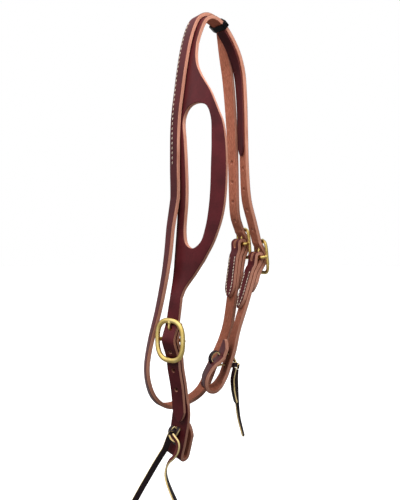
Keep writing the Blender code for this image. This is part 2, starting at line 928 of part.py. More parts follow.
def cheek_strap():
    """The cheek strap and crown in one, with the slotted ear panel and both pointed ends."""
    route = cheek_route
    half = strap_width / 2
    foot = route.where(leather / 2 + panel_foot_share * hang_height, -1)
    head = foot + panel_length
    panel = [(foot, half)]
    for along, out in reversed(panel_outline_shares):
        panel.append((head - along * panel_length, half + out * panel_reach))
    panel.append((head, half))
    panel = smooth_line([(along, out, 0.0) for along, out in panel], per_span=4)
    rise, fall = pointed(route.length, half)
    front = [(tip_blunt / 2, 0.0)]
    front += [(width, along) for along, width in rise]
    front += [(row[1], row[0]) for row in panel]
    front += [(width, along) for along, width in fall]
    front += [(tip_blunt / 2, route.length)]
    rear = [(-tip_blunt / 2, route.length)]
    rear += [(-width, along) for along, width in reversed(fall)]
    rear += [(-width, along) for along, width in reversed(rise)]
    rear += [(-tip_blunt / 2, 0.0)]
    slot_head = foot + ear_slot_foot_share * panel_length + ear_slot_length
    slot = []
    for along, across in ear_slot_shares:
        slot.append((half + across * ear_slot_width, slot_head - along * ear_slot_length, 0.0))
    slot = [(row[0], row[1]) for row in smooth_line(slot, per_span=2, closed=True)]
    mesh = cut_blank([*front, *rear], leather, [slot])
    columns = [half + panel_reach * (step + 0.4) / panel_creases for step in range(panel_creases)]
    crease(mesh, crease_places(route), columns)
    holes = [punch_cutter(0.0, near_tongue_along(), leather)]
    for spare in range(near_spare_holes):
        holes.append(punch_cutter(0.0, near_hole_start() - spare * near_hole_pitch, leather))
    holes.append(punch_cutter(0.0, far_tongue_along(cheek_buckle, route), leather, stretch=stretched_hole))
    for spare in range(far_spare_holes):
        along = far_tongue_along(cheek_buckle, route) - (spare + 1) * far_hole_pitch
        holes.append(punch_cutter(0.0, along, leather))
    mesh = combine(mesh, holes, "DIFFERENCE")
    lay(mesh, route, panel_curl_radius)
    return finish(mesh, "cheek_and_crown_strap", grain_finish)


def near_tongue_along():
    """Where the near buckle's fixed tongue goes through the cheek strap."""
    height = near_buckle.seat.centre[2] + near_buckle.half_height * 0.78
    return cheek_route.where(height, -1)


def near_hole_start():
    """The first spare hole below the near buckle's bar."""
    return cheek_route.where(near_buckle.seat.centre[2] - near_buckle.half_height * 0.02, -1)


def far_tongue_along(buckle, route):
    """Where a far tongue comes out through the billet, between the top rail and the bar."""
    place = buckle.seat.place(0.0, buckle.half_height * 0.56, 0.0)
    start = route.length * 0.7
    late = route.along > start
    gap = np.where(late, np.linalg.norm(route.points - place, axis=1), np.inf)
    return route.along[int(np.argmin(gap))]


def plain_strap(name, route, outline, tools, origin=None):
    """A strap of even leather: its blank cut, creased, slotted, punched and laid."""
    mesh = cut_blank(outline, leather)
    crease(mesh, crease_places(route))
    mesh = combine(mesh, tools, "DIFFERENCE")
    lay(mesh, route)
    return finish(mesh, name, grain_finish, origin)


def chape_slot_along(buckle, route):
    """Where a chape's slot sits so that the tongue's collar turns in it."""
    place = buckle.seat.place(0.0, buckle.wrap_radius, -buckle.set_back)
    early = route.along < route.length * 0.4
    gap = np.where(early, np.linalg.norm(route.points - place, axis=1), np.inf)
    return route.along[int(np.argmin(gap))]


def throat_strap():
    route = throat_line
    engaged = far_tongue_along(throat_buckle, route)
    holes = [punch_cutter(0.0, engaged, leather, stretch=stretched_hole)]
    for spare in range(far_spare_holes):
        holes.append(punch_cutter(0.0, engaged - (spare + 1) * far_hole_pitch * 0.96, leather))
    slot = slot_cutter(chape_slot_along(throat_buckle, route), chape_slot_length, chape_slot_width, leather)
    rise, fall = pointed(route.length, strap_width / 2)
    outline = strap_outline(route.length, [*rise, *fall])
    return plain_strap("throat_strap", route, outline, [slot, *holes])


def far_cheek_lower():
    """The far cheek's lower strap: chape, bit loop and lap in one."""
    route = cheek_lower_route
    narrow = strap_width / 2
    wide = bit_end_width / 2
    fall = pointed(route.length, wide)[1]
    start = pointed(route.length, narrow)[0]
    wide_start = route.length - far_loop_lap
    edge = [
        *start,
        (wide_start - bit_end_flare, narrow),
        (wide_start - bit_end_flare * 0.5, (narrow + wide) / 2),
        (wide_start, wide),
        *fall,
    ]
    outline = strap_outline(route.length, edge)
    slot = slot_cutter(chape_slot_along(cheek_buckle, route), chape_slot_length, chape_slot_width, leather)
    holes = []
    for outer in (True, False):
        for sign in (-1, 1):
            along = far_tie_along(outer) + sign * far_lace_spacing / 2
            holes.append(punch_cutter(far_tie_across_share * bit_end_width, along, leather, width=lace_hole))
    origin = cheek_seat.matrix(out=0.0)
    origin.translation = Vector(bar_centre(cheek_buckle))
    return plain_strap("far_cheek_lower_strap", route, outline, [slot, *holes], origin)


def far_tie_along(outer):
    """Where the far lace goes through each leg of its bit loop."""
    route = cheek_lower_route
    lowest = int(np.argmin(route.points[:, 2]))
    share = far_tie_outer_share if outer else far_tie_inner_share
    height = leather / 2 + share * hang_height
    gap = np.abs(route.points[:, 2] - height)
    gap[route.along < far_chape_end()] = np.inf
    if outer:
        gap[lowest:] = np.inf
    else:
        gap[:lowest] = np.inf
    return route.along[int(np.argmin(gap))]


def far_chape_end():
    return 2 * cheek_chape_length


def bar_centre(buckle):
    return buckle.seat.place(0.0, 0.0, -buckle.set_back)


def near_bit_strap():
    """The near bit strap: a wide folded end, and a narrow top behind the cheek strap's tail."""
    route = near_bit_line
    narrow = strap_width / 2
    wide = bit_end_width / 2
    fall = pointed(route.length, narrow)[1]
    start = pointed(route.length, wide)[0]
    edge = [
        *start,
        (near_paddle + near_loop_gap, wide),
        (near_paddle + near_loop_gap + bit_end_flare * 0.5, (narrow + wide) / 2),
        (near_paddle + near_loop_gap + bit_end_flare, narrow),
        *[(along, half) for along, half in fall if along < route.length - tip_length * 0.5],
    ]
    outline = strap_outline(route.length, edge, point_end=False)
    point, ahead = near_tongue_axis()
    gaps = np.linalg.norm(route.points - (point - ahead * layer), axis=1)
    along = route.along[int(np.argmin(gaps))]
    holes = [punch_cutter(0.0, along, leather)]
    for outer in (True, False):
        for sign in (-1, 1):
            holes.append(punch_cutter(near_tie_across(), near_tie_along(outer) + sign * lace_spacing / 2,
                                      leather, width=lace_hole))
    return plain_strap("near_bit_strap", route, outline, holes)


def near_tie_across():
    return near_tie_across_share * bit_end_width


def near_tie_along(outer):
    """Where the near lace goes through each leg, on either side of the fold."""
    lowest = near_bit_line.along[int(np.argmin(near_bit_line.points[:, 2]))]
    reach = near_tie_share * hang_height
    return lowest + reach if outer else lowest - reach


def near_tongue_axis():
    """The fixed tongue's crossing of the cheek strap, and the way out of it."""
    along = near_tongue_along()
    return cheek_route.place(along), cheek_route.frame(along)[2]


def billet_liner():
    """The thinner lining inside the far billet, from the keeper to its pointed end."""
    first = keeper_place() + keeper_width / 2 + side_gap
    last = keeper_place() + liner_end_share * hang_height
    route = Route(smooth_line(cheek_route.beside(-(leather + lining_leather) / 2 - crown_gap, first, last)))
    half = lining_width / 2
    fall = pointed(route.length, half)[1]
    outline = strap_outline(route.length, [(0.0, half), *fall], point_start=False)
    mesh = cut_blank(outline, lining_leather)
    crease(mesh, crease_places(route))
    holes = []
    for spare in range(far_spare_holes):
        world = far_tongue_along(cheek_buckle, cheek_route) - (spare + 1) * far_hole_pitch
        along = world - first
        if tip_length < along < route.length - tip_length:
            holes.append(punch_cutter(0.0, along, lining_leather))
    if holes:
        mesh = combine(mesh, holes, "DIFFERENCE")
    lay(mesh, route)
    return finish(mesh, "far_billet_liner", lining_finish)


def keeper_corners():
    """The outline round both straps where the keeper crosses them, as (across, out)."""
    back, rise = parting_shares[2][1:]
    half = strap_width / 2
    above = rise * (leather + crown_gap) + leather / 2
    slid = -back * strap_width
    return [
        (half, -leather / 2),
        (half, leather / 2),
        (half + slid, above),
        (slid - half, above),
        (slid - half, above - leather),
        (-half, -leather / 2),
    ]


def grown(corners, by):
    """A convex outline moved outwards by one distance all round."""
    moved = []
    for i, corner in enumerate(corners):
        here = Vector(corner)
        before = (here - Vector(corners[i - 1])).normalized()
        after = (Vector(corners[(i + 1) % len(corners)]) - here).normalized()
        normals = (Vector((before.y, -before.x)), Vector((after.y, -after.x)))
        way = normals[0] + normals[1]
        side = 1 if signed_area(corners) > 0 else -1
        moved.append(here + side * by * way / (1 + normals[0].dot(normals[1])))
    return moved


def signed_area(corners):
    total = 0.0
    for (x0, y0), (x1, y1) in zip(corners, [*corners[1:], corners[0]]):
        total += x0 * y1 - x1 * y0
    return total / 2


def crown_keeper():
    """A turn of lace leather drawn round both crown straps."""
    line = bpy.data.curves.new("keeper", "CURVE")
    line.dimensions = "2D"
    line.fill_mode = "BOTH"
    line.extrude = keeper_width / 2
    for by in (keeper_room + keeper_leather, keeper_room):
        spline = line.splines.new("POLY")
        corners = grown(keeper_corners(), by)
        spline.points.add(len(corners) - 1)
        spline.use_cyclic_u = True
        for point, corner in zip(spline.points, corners):
            point.co = (corner.x, corner.y, 0.0, 1.0)
    item = bpy.data.objects.new("keeper", line)
    collection.objects.link(item)
    mesh = mesh_of(item)
    centre = keeper_place()
    for vert in mesh.vertices:
        across, out, along = vert.co
        vert.co = cheek_route.place(centre - along, across, out)
    return finish(mesh, "crown_keeper", lace_finish)


# Brass


def near_conway_buckle():
    """The near buckle: frame, set-back bar and fixed tongue in one casting."""
    point, grain = near_tongue_axis()
    rail = near_seat.place(0.0, near_buckle.half_height, 0.0)
    lead = leather / 2 + tongue_pin / 2
    depth = leather * 1.5 + seat_gap + tongue_pin * 0.6
    path = smooth_line([rail, point + grain * lead, point, point - grain * depth], per_span=3)
    return finish(near_buckle.casting(wire(path, tongue_pin / 2)), "near_conway_buckle", brass_finish)


def far_frame(name, buckle):
    return finish(buckle.casting(), name, brass_finish)


def far_tongue(name, buckle, route):
    """A tongue that turns on the set-back bar and lies out through the billet on the top rail."""
    inner = buckle.bar / 2 + pivot_gap
    outer = inner + tongue_collar_wall
    collar = bmesh.new()
    bmesh.ops.create_cone(
        collar, cap_ends=True, segments=16, radius1=outer, radius2=outer, depth=tongue_collar_width,
        matrix=Matrix.Rotation(math.pi / 2, 4, "Y"),
    )
    body = bpy.data.meshes.new("collar")
    collar.to_mesh(body)
    collar.free()
    sign = -buckle.seat.side
    along = far_tongue_along(buckle, route)
    crossing = route.place(along) - bar_centre(buckle)
    cross_height = float(crossing.dot(buckle.seat.up))
    cross_out = float(crossing.dot(buckle.seat.out))
    rest = buckle.set_back + buckle.rail_half_depth + tongue_pin / 2 + pivot_gap
    path = [
        (0.0, 0.0, 0.0),
        (0.0, cross_height * 0.55, sign * cross_out * 0.62),
        (0.0, cross_height, sign * cross_out),
        (0.0, (cross_height + buckle.half_height) / 2, sign * (cross_out + rest) / 2 * 1.08),
        (0.0, buckle.half_height, sign * rest),
        (0.0, buckle.half_height + tongue_overhang, sign * (rest - tongue_pin * 0.1)),
    ]
    pin = wire(smooth_line(path, per_span=3), tongue_pin / 2)
    body = combine(body, [pin], "UNION")
    bore = bmesh.new()
    bmesh.ops.create_cone(
        bore, cap_ends=True, segments=16, radius1=inner, radius2=inner, depth=tongue_collar_width + overrun,
        matrix=Matrix.Rotation(math.pi / 2, 4, "Y"),
    )
    hole = bpy.data.meshes.new("bore")
    bore.to_mesh(hole)
    bore.free()
    body = combine(body, [hole], "DIFFERENCE")
    origin = buckle.seat.matrix(out=-buckle.set_back)
    body.transform(origin)
    return finish(body, name, brass_finish, origin)


# Lace ties


def trefoil(centre, across, up, radius, strand):
    """A drawn-up overhand knot."""
    points = []
    out = Vector(across).cross(Vector(up))
    for step in range(24):
        t = 2 * math.pi * step / 24
        x = (0.6 * math.sin(t) + 2 * math.sin(2 * t)) / 2.6
        y = (0.6 * math.cos(t) - 2 * math.cos(2 * t)) / 2.6
        z = -math.sin(3 * t) / 1.5
        flat = (Vector(across) * x + Vector(up) * y) * (radius - strand / 2)
        points.append(Vector(centre) + flat + out * z * strand)
    return wire(points, strand / 2, closed=True, resolution=1)


def tie(name, path, knot_centre, across, up):
    """A tie of lace leather: the strand through the legs and the knot that holds it."""
    strand = wire(smooth_line(path, per_span=3), lace_strand / 2, resolution=1)
    knot = trefoil(knot_centre, across, up, tie_knot_radius, tie_knot_strand)
    return finish(fill_hollows(combine(strand, [knot], "UNION", crossing=True)), name, lace_finish)


def near_tie():
    across = near_tie_across()
    outer = near_tie_along(True)
    lift = leather / 2 + lace_strand / 2 + seat_gap
    depth = leather * 1.5 + near_loop_gap + lace_strand / 2 + seat_gap
    half = lace_spacing / 2
    route = near_bit_line
    knot = route.place(outer, across - tie_knot_radius * 0.4, lift + tie_knot_strand * 1.5)
    path = [
        knot,
        route.place(outer + half * 0.85, across, lift),
        route.place(outer + half, across, 0.0),
        route.place(outer + half, across, -depth * 0.7),
        route.place(outer + half * 0.7, across, -depth),
        route.place(outer - half * 0.7, across, -depth),
        route.place(outer - half, across, -depth * 0.7),
        route.place(outer - half, across, 0.0),
        route.place(outer - half * 0.85, across, lift),
        route.place(outer, across - tie_knot_radius * 0.4, lift + tie_knot_strand * 1.8),
    ]
    front, ahead = route.frame(outer)[:2]
    return tie("near_tie_knot", path, knot, front, ahead)


def far_tie():
    """The far tie: a bight proud of the inner leg, through both legs to a knot outside."""
    route = cheek_lower_route
    across = far_tie_across_share * bit_end_width
    half = far_lace_spacing / 2
    outer = far_tie_along(True)
    inner = far_tie_along(False)
    lift = leather / 2 + lace_strand / 2 + seat_gap
    knot = np.array(hang([(*far_knot_share, 0)])[0][:3])
    path = [
        knot,
        route.place(outer + half, across + half, lift * 1.5),
        route.place(outer + half, across, lift * 1.2),
        route.place(outer + half, across, lift * 0.5),
        route.place(outer + half, across, -lift),
        route.place(inner - half, across, -lift),
        route.place(inner - half, across, lift * 0.5),
        route.place(inner - half * 0.8, across, lift + far_bight_rise * 0.7),
        route.place(inner, across, lift + far_bight_rise),
        route.place(inner + half * 0.8, across, lift + far_bight_rise * 0.7),
        route.place(inner + half, across, lift * 0.5),
        route.place(inner + half, across, -lift),
        route.place(outer - half, across, -lift),
        route.place(outer - half, across, lift * 0.5),
        route.place(outer - half, across, lift * 1.2),
        route.place(outer - half, across + half, lift * 1.5),
        knot + np.array([0.0, 0.0, tie_knot_radius * 0.6]),
    ]
    return tie("far_tie_knot", path, knot, (0.7071, 0.7071, 0.0), (0.0, 0.0, 1.0))


def lace_tail(name, points, turn, width, thickness):
    """The free end of a lace, flat leather like the straps."""
    rows = [(*point, math.radians(turn), 0.0) for point in points]
    route = Route(smooth_line(rows, per_span=6))
    half = width / 2
    outline = [(half, 0.0), (half, route.length - half), (-half, route.length), (-half, 0.0)]
    flat = cut_blank(outline, thickness)
    crease(flat, crease_places(route))
    lay(flat, route)
    return finish(flat, name, lace_finish)


clear_scene()
cheek_strap()
throat_strap()
far_cheek_lower()
near_bit_strap()
billet_liner()
crown_keeper()
near_conway_buckle()
far_frame("far_cheek_buckle", cheek_buckle)
far_tongue("far_cheek_tongue", cheek_buckle, cheek_route)
far_frame("far_throat_buckle", throat_buckle)
far_tongue("far_throat_tongue", throat_buckle, throat_line)
near_tie()
far_tie()
lace_tail("near_lace_long_tail", near_long_tail, 45, near_tail_width, near_tail_thickness)
lace_tail("near_lace_short_tail", near_short_tail, -45, near_tail_width, near_tail_thickness)
lace_tail("far_lace_front_tail", far_front_tail, 40, lace_width, lace_thickness)
lace_tail("far_lace_back_tail", far_back_tail, 20, lace_width, lace_thickness)
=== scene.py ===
# A western slot-ear headstall, hanging by its crown as it does in the photograph.
# The horse's nose is +X and its near side -Y, the inside of the crown's top is z = 0, and
# every length is in metres.
import math

import bpy
import numpy as np
from mathutils import Matrix, Vector


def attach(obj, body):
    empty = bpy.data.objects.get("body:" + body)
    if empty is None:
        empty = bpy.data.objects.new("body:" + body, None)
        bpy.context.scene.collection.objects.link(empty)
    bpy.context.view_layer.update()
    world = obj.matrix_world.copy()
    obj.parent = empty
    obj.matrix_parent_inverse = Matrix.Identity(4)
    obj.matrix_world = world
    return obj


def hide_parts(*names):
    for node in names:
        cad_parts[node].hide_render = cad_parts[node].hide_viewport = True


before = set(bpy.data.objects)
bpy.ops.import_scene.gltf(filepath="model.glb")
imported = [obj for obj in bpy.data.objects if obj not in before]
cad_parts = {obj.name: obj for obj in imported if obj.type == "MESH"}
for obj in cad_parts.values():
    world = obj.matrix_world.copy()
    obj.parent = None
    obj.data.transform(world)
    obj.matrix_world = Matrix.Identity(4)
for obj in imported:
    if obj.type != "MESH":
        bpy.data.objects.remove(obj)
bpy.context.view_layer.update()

# The photographed view
# The camera looks level at the headstall from 45 degrees between the horse's nose and its
# near side. Broad soft lights hang above it on all sides, over a plain pale floor.
camera_place = (0.4894, -0.5006, -0.2597)
sensor = 24.0
focal_pixels = 617.0
picture_pixels = 500.0
floor_height = -0.64
scene = bpy.context.scene
scene.view_settings.view_transform = "Standard"
bpy.ops.object.select_all(action="DESELECT")
bpy.ops.object.camera_add(location=camera_place, rotation=(math.pi / 2, 0.0, math.pi / 4))
camera = bpy.context.object
camera.name = "camera"
camera.data.sensor_width = sensor
camera.data.lens = sensor * focal_pixels / picture_pixels
scene.camera = camera

world = bpy.data.worlds.new("studio")
scene.world = world
world.use_nodes = True
backdrop_light = world.node_tree.nodes["Background"]
backdrop_light.inputs["Color"].default_value = (1.0, 1.0, 1.0, 1.0)
ray = world.node_tree.nodes.new("ShaderNodeLightPath")
sight = world.node_tree.nodes.new("ShaderNodeTexCoord")
towards_key = world.node_tree.nodes.new("ShaderNodeVectorMath")
towards_key.operation = "DOT_PRODUCT"
towards_key.inputs[1].default_value = (0.10, -0.62, 0.78)
world.node_tree.links.new(sight.outputs["Generated"], towards_key.inputs[0])


def studio_level(value, low, high, levels):
    """Turns a socket's value into a strength of the studio's light."""
    made = world.node_tree.nodes.new("ShaderNodeMapRange")
    made.inputs["From Min"].default_value = low
    made.inputs["From Max"].default_value = high
    for name, level in zip(("To Min", "To Max"), levels):
        if isinstance(level, float):
            made.inputs[name].default_value = level
        else:
            world.node_tree.links.new(level, made.inputs[name])
    world.node_tree.links.new(value, made.inputs["Value"])
    return made.outputs["Result"]


# Leather and brass mirror a studio that is brightest towards the key light, the rest of the
# light that comes from all round is weak, and the background that the camera sees is white.
mirrored = studio_level(towards_key.outputs["Value"], 0.15, 1.0, (0.36, 1.90))
unseen = studio_level(ray.outputs["Is Glossy Ray"], 0.0, 1.0, (0.26, mirrored))
seen = studio_level(ray.outputs["Is Camera Ray"], 0.0, 1.0, (unseen, 1.0))
world.node_tree.links.new(seen, backdrop_light.inputs["Strength"])


def softbox(name, place, size, watts):
    """A square soft light that faces the middle of the headstall."""
    bpy.ops.object.light_add(type="AREA", location=place)
    light = bpy.context.object
    light.name = name
    light.data.size = size
    light.data.energy = watts
    towards_middle = Vector((0.0, 0.0, -0.26)) - Vector(place)
    light.rotation_euler = towards_middle.to_track_quat("-Z", "Y").to_euler()
    light.visible_glossy = False


softbox("key_light", (0.10, -0.80, 0.58), 0.8, 9.2)
softbox("fill_light", (0.95, -0.15, 0.50), 0.9, 9.0)
softbox("rear_light", (-1.30, -0.55, 0.60), 1.0, 5.0)
softbox("back_light", (-0.50, 1.70, 0.60), 1.2, 13.0)
sky_turn = (math.radians(24), math.radians(-10), 0.0)
bpy.ops.object.light_add(type="SUN", location=(0.0, 0.0, 2.0), rotation=sky_turn)
sky = bpy.context.object
sky.name = "overhead_light"
sky.data.energy = 1.8
sky.data.angle = 1.0
sky.visible_glossy = False

bpy.ops.mesh.primitive_plane_add(size=24.0, location=(0.0, 0.0, floor_height))
floor = bpy.context.object
floor.name = "floor"
bpy.ops.object.transform_apply(location=True, rotation=True, scale=True)
floor_paint = bpy.data.materials.new("floor_paint")
floor_paint.use_nodes = True
floor_shader = floor_paint.node_tree.nodes["Principled BSDF"]
floor_shader.inputs["Base Color"].default_value = (0.55, 0.55, 0.55, 1.0)
floor_shader.inputs["Roughness"].default_value = 0.9
floor_shader.inputs["Emission Color"].default_value = (1.0, 1.0, 1.0, 1.0)
floor_shader.inputs["Emission Strength"].default_value = 0.80
floor.data.materials.append(floor_paint)
floor.visible_glossy = False
floor.visible_diffuse = False

# Lace tails
# The free ends of the two lace ties: flat laces of dark latigo, about 7 and 5 mm wide, cut
# from thick leather so that their edges show its pale yellow middle. Each leaves its knot
# and hangs, and each is cut off at a slant.
near_tail_width = 0.0068
near_tail_thickness = 0.0022
far_tail_width = 0.0052
far_tail_thickness = 0.0019
lace_round = 0.00035
near_long_tail = (
    (-0.0122, -0.0469, -0.4657, 225),
    (-0.0180, -0.0474, -0.4782, 225),
    (-0.0245, -0.0485, -0.4877, 225),
    (-0.0325, -0.0499, -0.4997, 225),
    (-0.0410, -0.0515, -0.5132, 225),
    (-0.0505, -0.0533, -0.5282, 225),
    (-0.0606, -0.0552, -0.5447, 225),
    (-0.0690, -0.0566, -0.5582, 225),
)
near_short_tail = (
    (-0.0059, -0.0476, -0.4611, -12),
    (0.0025, -0.0478, -0.4677, -16),
    (0.0022, -0.0480, -0.4757, -24),
    (-0.0035, -0.0482, -0.4842, -34),
    (-0.0100, -0.0484, -0.4902, -42),
    (-0.0148, -0.0484, -0.4982, -48),
    (-0.0160, -0.0482, -0.5067, -54),
    (-0.0125, -0.0478, -0.5162, -60),
    (-0.0070, -0.0472, -0.5252, -66),
    (-0.0015, -0.0466, -0.5337, -74),
    (0.0020, -0.0460, -0.5422, -80),
)
far_front_tail = (
    (0.0195, 0.0286, -0.3965, 262),
    (0.0188, 0.0285, -0.4067, 262),
    (0.0186, 0.0292, -0.4167, 264),
    (0.0186, 0.0300, -0.4287, 268),
    (0.0190, 0.0308, -0.4407, 272),
    (0.0200, 0.0320, -0.4527, 280),
    (0.0222, 0.0336, -0.4637, 286),
    (0.0245, 0.0350, -0.4737, 290),
)
far_back_tail = (
    (0.0200, 0.0250, -0.3935, 180),
    (0.0178, 0.0234, -0.4067, 180),
    (0.0180, 0.0234, -0.4137, 178),
    (0.0186, 0.0238, -0.4207, 175),
    (0.0198, 0.0246, -0.4277, 172),
    (0.0212, 0.0258, -0.4347, 170),
)
least_step = 0.0000001
beside_step = 0.00325


def blend_between(start, end, first, last, now):
    return ((last - now) * start + (now - first) * end) / (last - first)


def smooth_line(rows, per_span=16, closed=False):
    """A centripetal curve through rows of any width, sampled closely."""
    rows = np.array(rows, dtype=float)
    if closed:
        rows = np.vstack([rows[-1:], rows, rows[:2]])
    else:
        rows = np.vstack([2 * rows[0] - rows[1], rows, 2 * rows[-1] - rows[-2]])
    samples = []
    for first in range(len(rows) - 3):
        p = rows[first : first + 4]
        steps = np.sqrt(np.linalg.norm(np.diff(p[:, :3], axis=0), axis=1))
        knots = np.concatenate([[0.0], np.cumsum(steps)])
        for share in np.linspace(0, 1, per_span, endpoint=False):
            now = knots[1] + share * (knots[2] - knots[1])
            a = [blend_between(p[i], p[i + 1], knots[i], knots[i + 1], now) for i in range(3)]
            b = [blend_between(a[i], a[i + 1], knots[i], knots[i + 2], now) for i in range(2)]
            samples.append(blend_between(b[0], b[1], knots[1], knots[2], now))
    if not closed:
        samples.append(rows[-2])
    return np.array(samples)


class Route:
    """The line of a strap's mid thickness: rows of a point and the way to its front edge."""

    def __init__(self, rows):
        rows = np.asarray(rows, dtype=float)
        moved = np.linalg.norm(np.diff(rows[:, :3], axis=0), axis=1)
        self.rows = rows[np.concatenate([[True], moved > least_step])]
        self.points = self.rows[:, :3]
        steps = np.linalg.norm(np.diff(self.points, axis=0), axis=1)
        self.along = np.concatenate([[0.0], np.cumsum(steps)])
        self.length = self.along[-1]
        ahead = np.gradient(self.points, self.along, axis=0)
        self.ahead = ahead / np.linalg.norm(ahead, axis=1)[:, None]
        front = self.rows[:, 3:6]
        front = front - (front * self.ahead).sum(axis=1)[:, None] * self.ahead
        self.front = front / np.linalg.norm(front, axis=1)[:, None]
        self.out = np.cross(self.front, self.ahead)

    def read(self, values, along):
        return np.stack([np.interp(along, self.along, values[:, i]) for i in range(3)], axis=-1)

    def place(self, along, across=0.0, out=0.0):
        """World points at lengths along the strap, towards its front edge and out of it."""
        across = np.asarray(across)[..., None]
        out = np.asarray(out)[..., None]
        beside = across * self.read(self.front, along)
        return self.read(self.points, along) + beside + out * self.read(self.out, along)

    def frame(self, along):
        front = self.read(self.front, along)
        front = front / np.linalg.norm(front)
        grain = self.read(self.out, along)
        grain = grain / np.linalg.norm(grain)
        return front, np.cross(grain, front), grain

    def beside(self, out, first=0.0, last=None):
        """Rows of a line beside this one, from one length along it to another."""
        last = self.length if last is None else last
        count = max(2, int(round((last - first) / beside_step)) + 1)
        places = np.linspace(first, last, count)
        moved = self.place(places, 0.0, np.full(count, out))
        return np.hstack([moved, self.read(self.rows[:, 3:6], places)]).tolist()

    def where(self, height, side):
        """The length along at which the strap passes a height on one side of the horse."""
        gap = np.where(self.points[:, 1] * side > 0, np.abs(self.points[:, 2] - height), np.inf)
        return self.along[int(np.argmin(gap))]

    def nearest(self, point, first=0.0, last=1.0):
        """The length along that comes nearest to a point, between two shares of the length."""
        within = (self.along >= first * self.length) & (self.along <= last * self.length)
        gap = np.where(within, np.linalg.norm(self.points - np.asarray(point), axis=1), np.inf)
        return self.along[int(np.argmin(gap))]


def select_only(piece):
    bpy.ops.object.select_all(action="DESELECT")
    piece.select_set(True)
    bpy.context.view_layer.objects.active = piece


def apply_modifier(piece, kind, **settings):
    select_only(piece)
    bpy.ops.object.modifier_add(type=kind)
    change = piece.modifiers[-1]
    for key, value in settings.items():
        setattr(change, key, value)
    bpy.ops.object.modifier_apply(modifier=change.name)


def cut_flat(outline, thickness):
    """A flat blank of leather: a disc drawn out to the outline and given its thickness."""
    bpy.ops.object.select_all(action="DESELECT")
    bpy.ops.mesh.primitive_circle_add(vertices=len(outline), radius=thickness, fill_type="NGON")
    blank = bpy.context.object
    for vert, (across, along) in zip(blank.data.vertices, outline):
        vert.co = (across, along, -thickness / 2)
    bpy.ops.object.mode_set(mode="EDIT")
    bpy.ops.mesh.select_all(action="SELECT")
    bpy.ops.mesh.extrude_region_move(TRANSFORM_OT_translate={"value": (0.0, 0.0, thickness)})
    bpy.ops.mesh.select_all(action="SELECT")
    bpy.ops.mesh.normals_make_consistent(inside=False)
    bpy.ops.object.mode_set(mode="OBJECT")
    return blank


def soften(piece, width, segments, degrees, clamp=True):
    """Rounds off the edges that turn by more than so many degrees."""
    apply_modifier(
        piece, "BEVEL", width=width, segments=segments, limit_method="ANGLE",
        angle_limit=math.radians(degrees), use_clamp_overlap=clamp,
    )


def points_of(piece):
    found = np.empty(len(piece.data.vertices) * 3)
    piece.data.vertices.foreach_get("co", found)
    return found.reshape(-1, 3)


def move_points(piece, rows):
    piece.data.vertices.foreach_set("co", rows.ravel())
    piece.data.update()


def keep_flat(piece, rows):
    """Stores each point's place in the flat leather, which the leather's finish follows."""
    kept = piece.data.attributes.new("flat", "FLOAT_VECTOR", "POINT")
    kept.data.foreach_set("vector", rows.ravel())


def crease_places(route, turn=0.06, longest=0.0075):
    """Lengths along a route at which a blank has to bend."""
    places = [0.0]
    last = route.ahead[0]
    last_front = route.front[0]
    for along, ahead, front in zip(route.along, route.ahead, route.front):
        bend = math.acos(max(-1.0, min(1.0, float(ahead.dot(last)))))
        twist = math.acos(max(-1.0, min(1.0, float(front.dot(last_front)))))
        if bend > turn or twist > turn or along - places[-1] > longest:
            places.append(float(along))
            last = ahead
            last_front = front
    return places[1:]


def crease(blank, lengthwise, crosswise=()):
    """Splits a blank at lengths along it and at places across it, and its faces to triangles."""
    select_only(blank)
    bpy.ops.object.mode_set(mode="EDIT")
    for along in lengthwise:
        bpy.ops.mesh.select_all(action="SELECT")
        bpy.ops.mesh.bisect(plane_co=(0.0, along, 0.0), plane_no=(0.0, 1.0, 0.0))
    for across in crosswise:
        bpy.ops.mesh.select_all(action="SELECT")
        bpy.ops.mesh.bisect(plane_co=(across, 0.0, 0.0), plane_no=(1.0, 0.0, 0.0))
    bpy.ops.mesh.select_all(action="SELECT")
    bpy.ops.mesh.quads_convert_to_tris(quad_method="BEAUTY", ngon_method="BEAUTY")
    bpy.ops.object.mode_set(mode="OBJECT")


def lay(blank, route, curl_radius=None):
    """Bends a flat blank onto its route, and keeps each point's place in the flat leather."""
    flat = points_of(blank)
    keep_flat(blank, flat)
    across, along, out = flat.T
    if curl_radius is not None:
        angle = np.maximum(across, 0.0) / curl_radius
        across = np.where(across > 0, (curl_radius + out) * np.sin(angle), across)
        out = np.where(angle > 0, (curl_radius + out) * np.cos(angle) - curl_radius, out)
    move_points(blank, route.place(along, across, out))


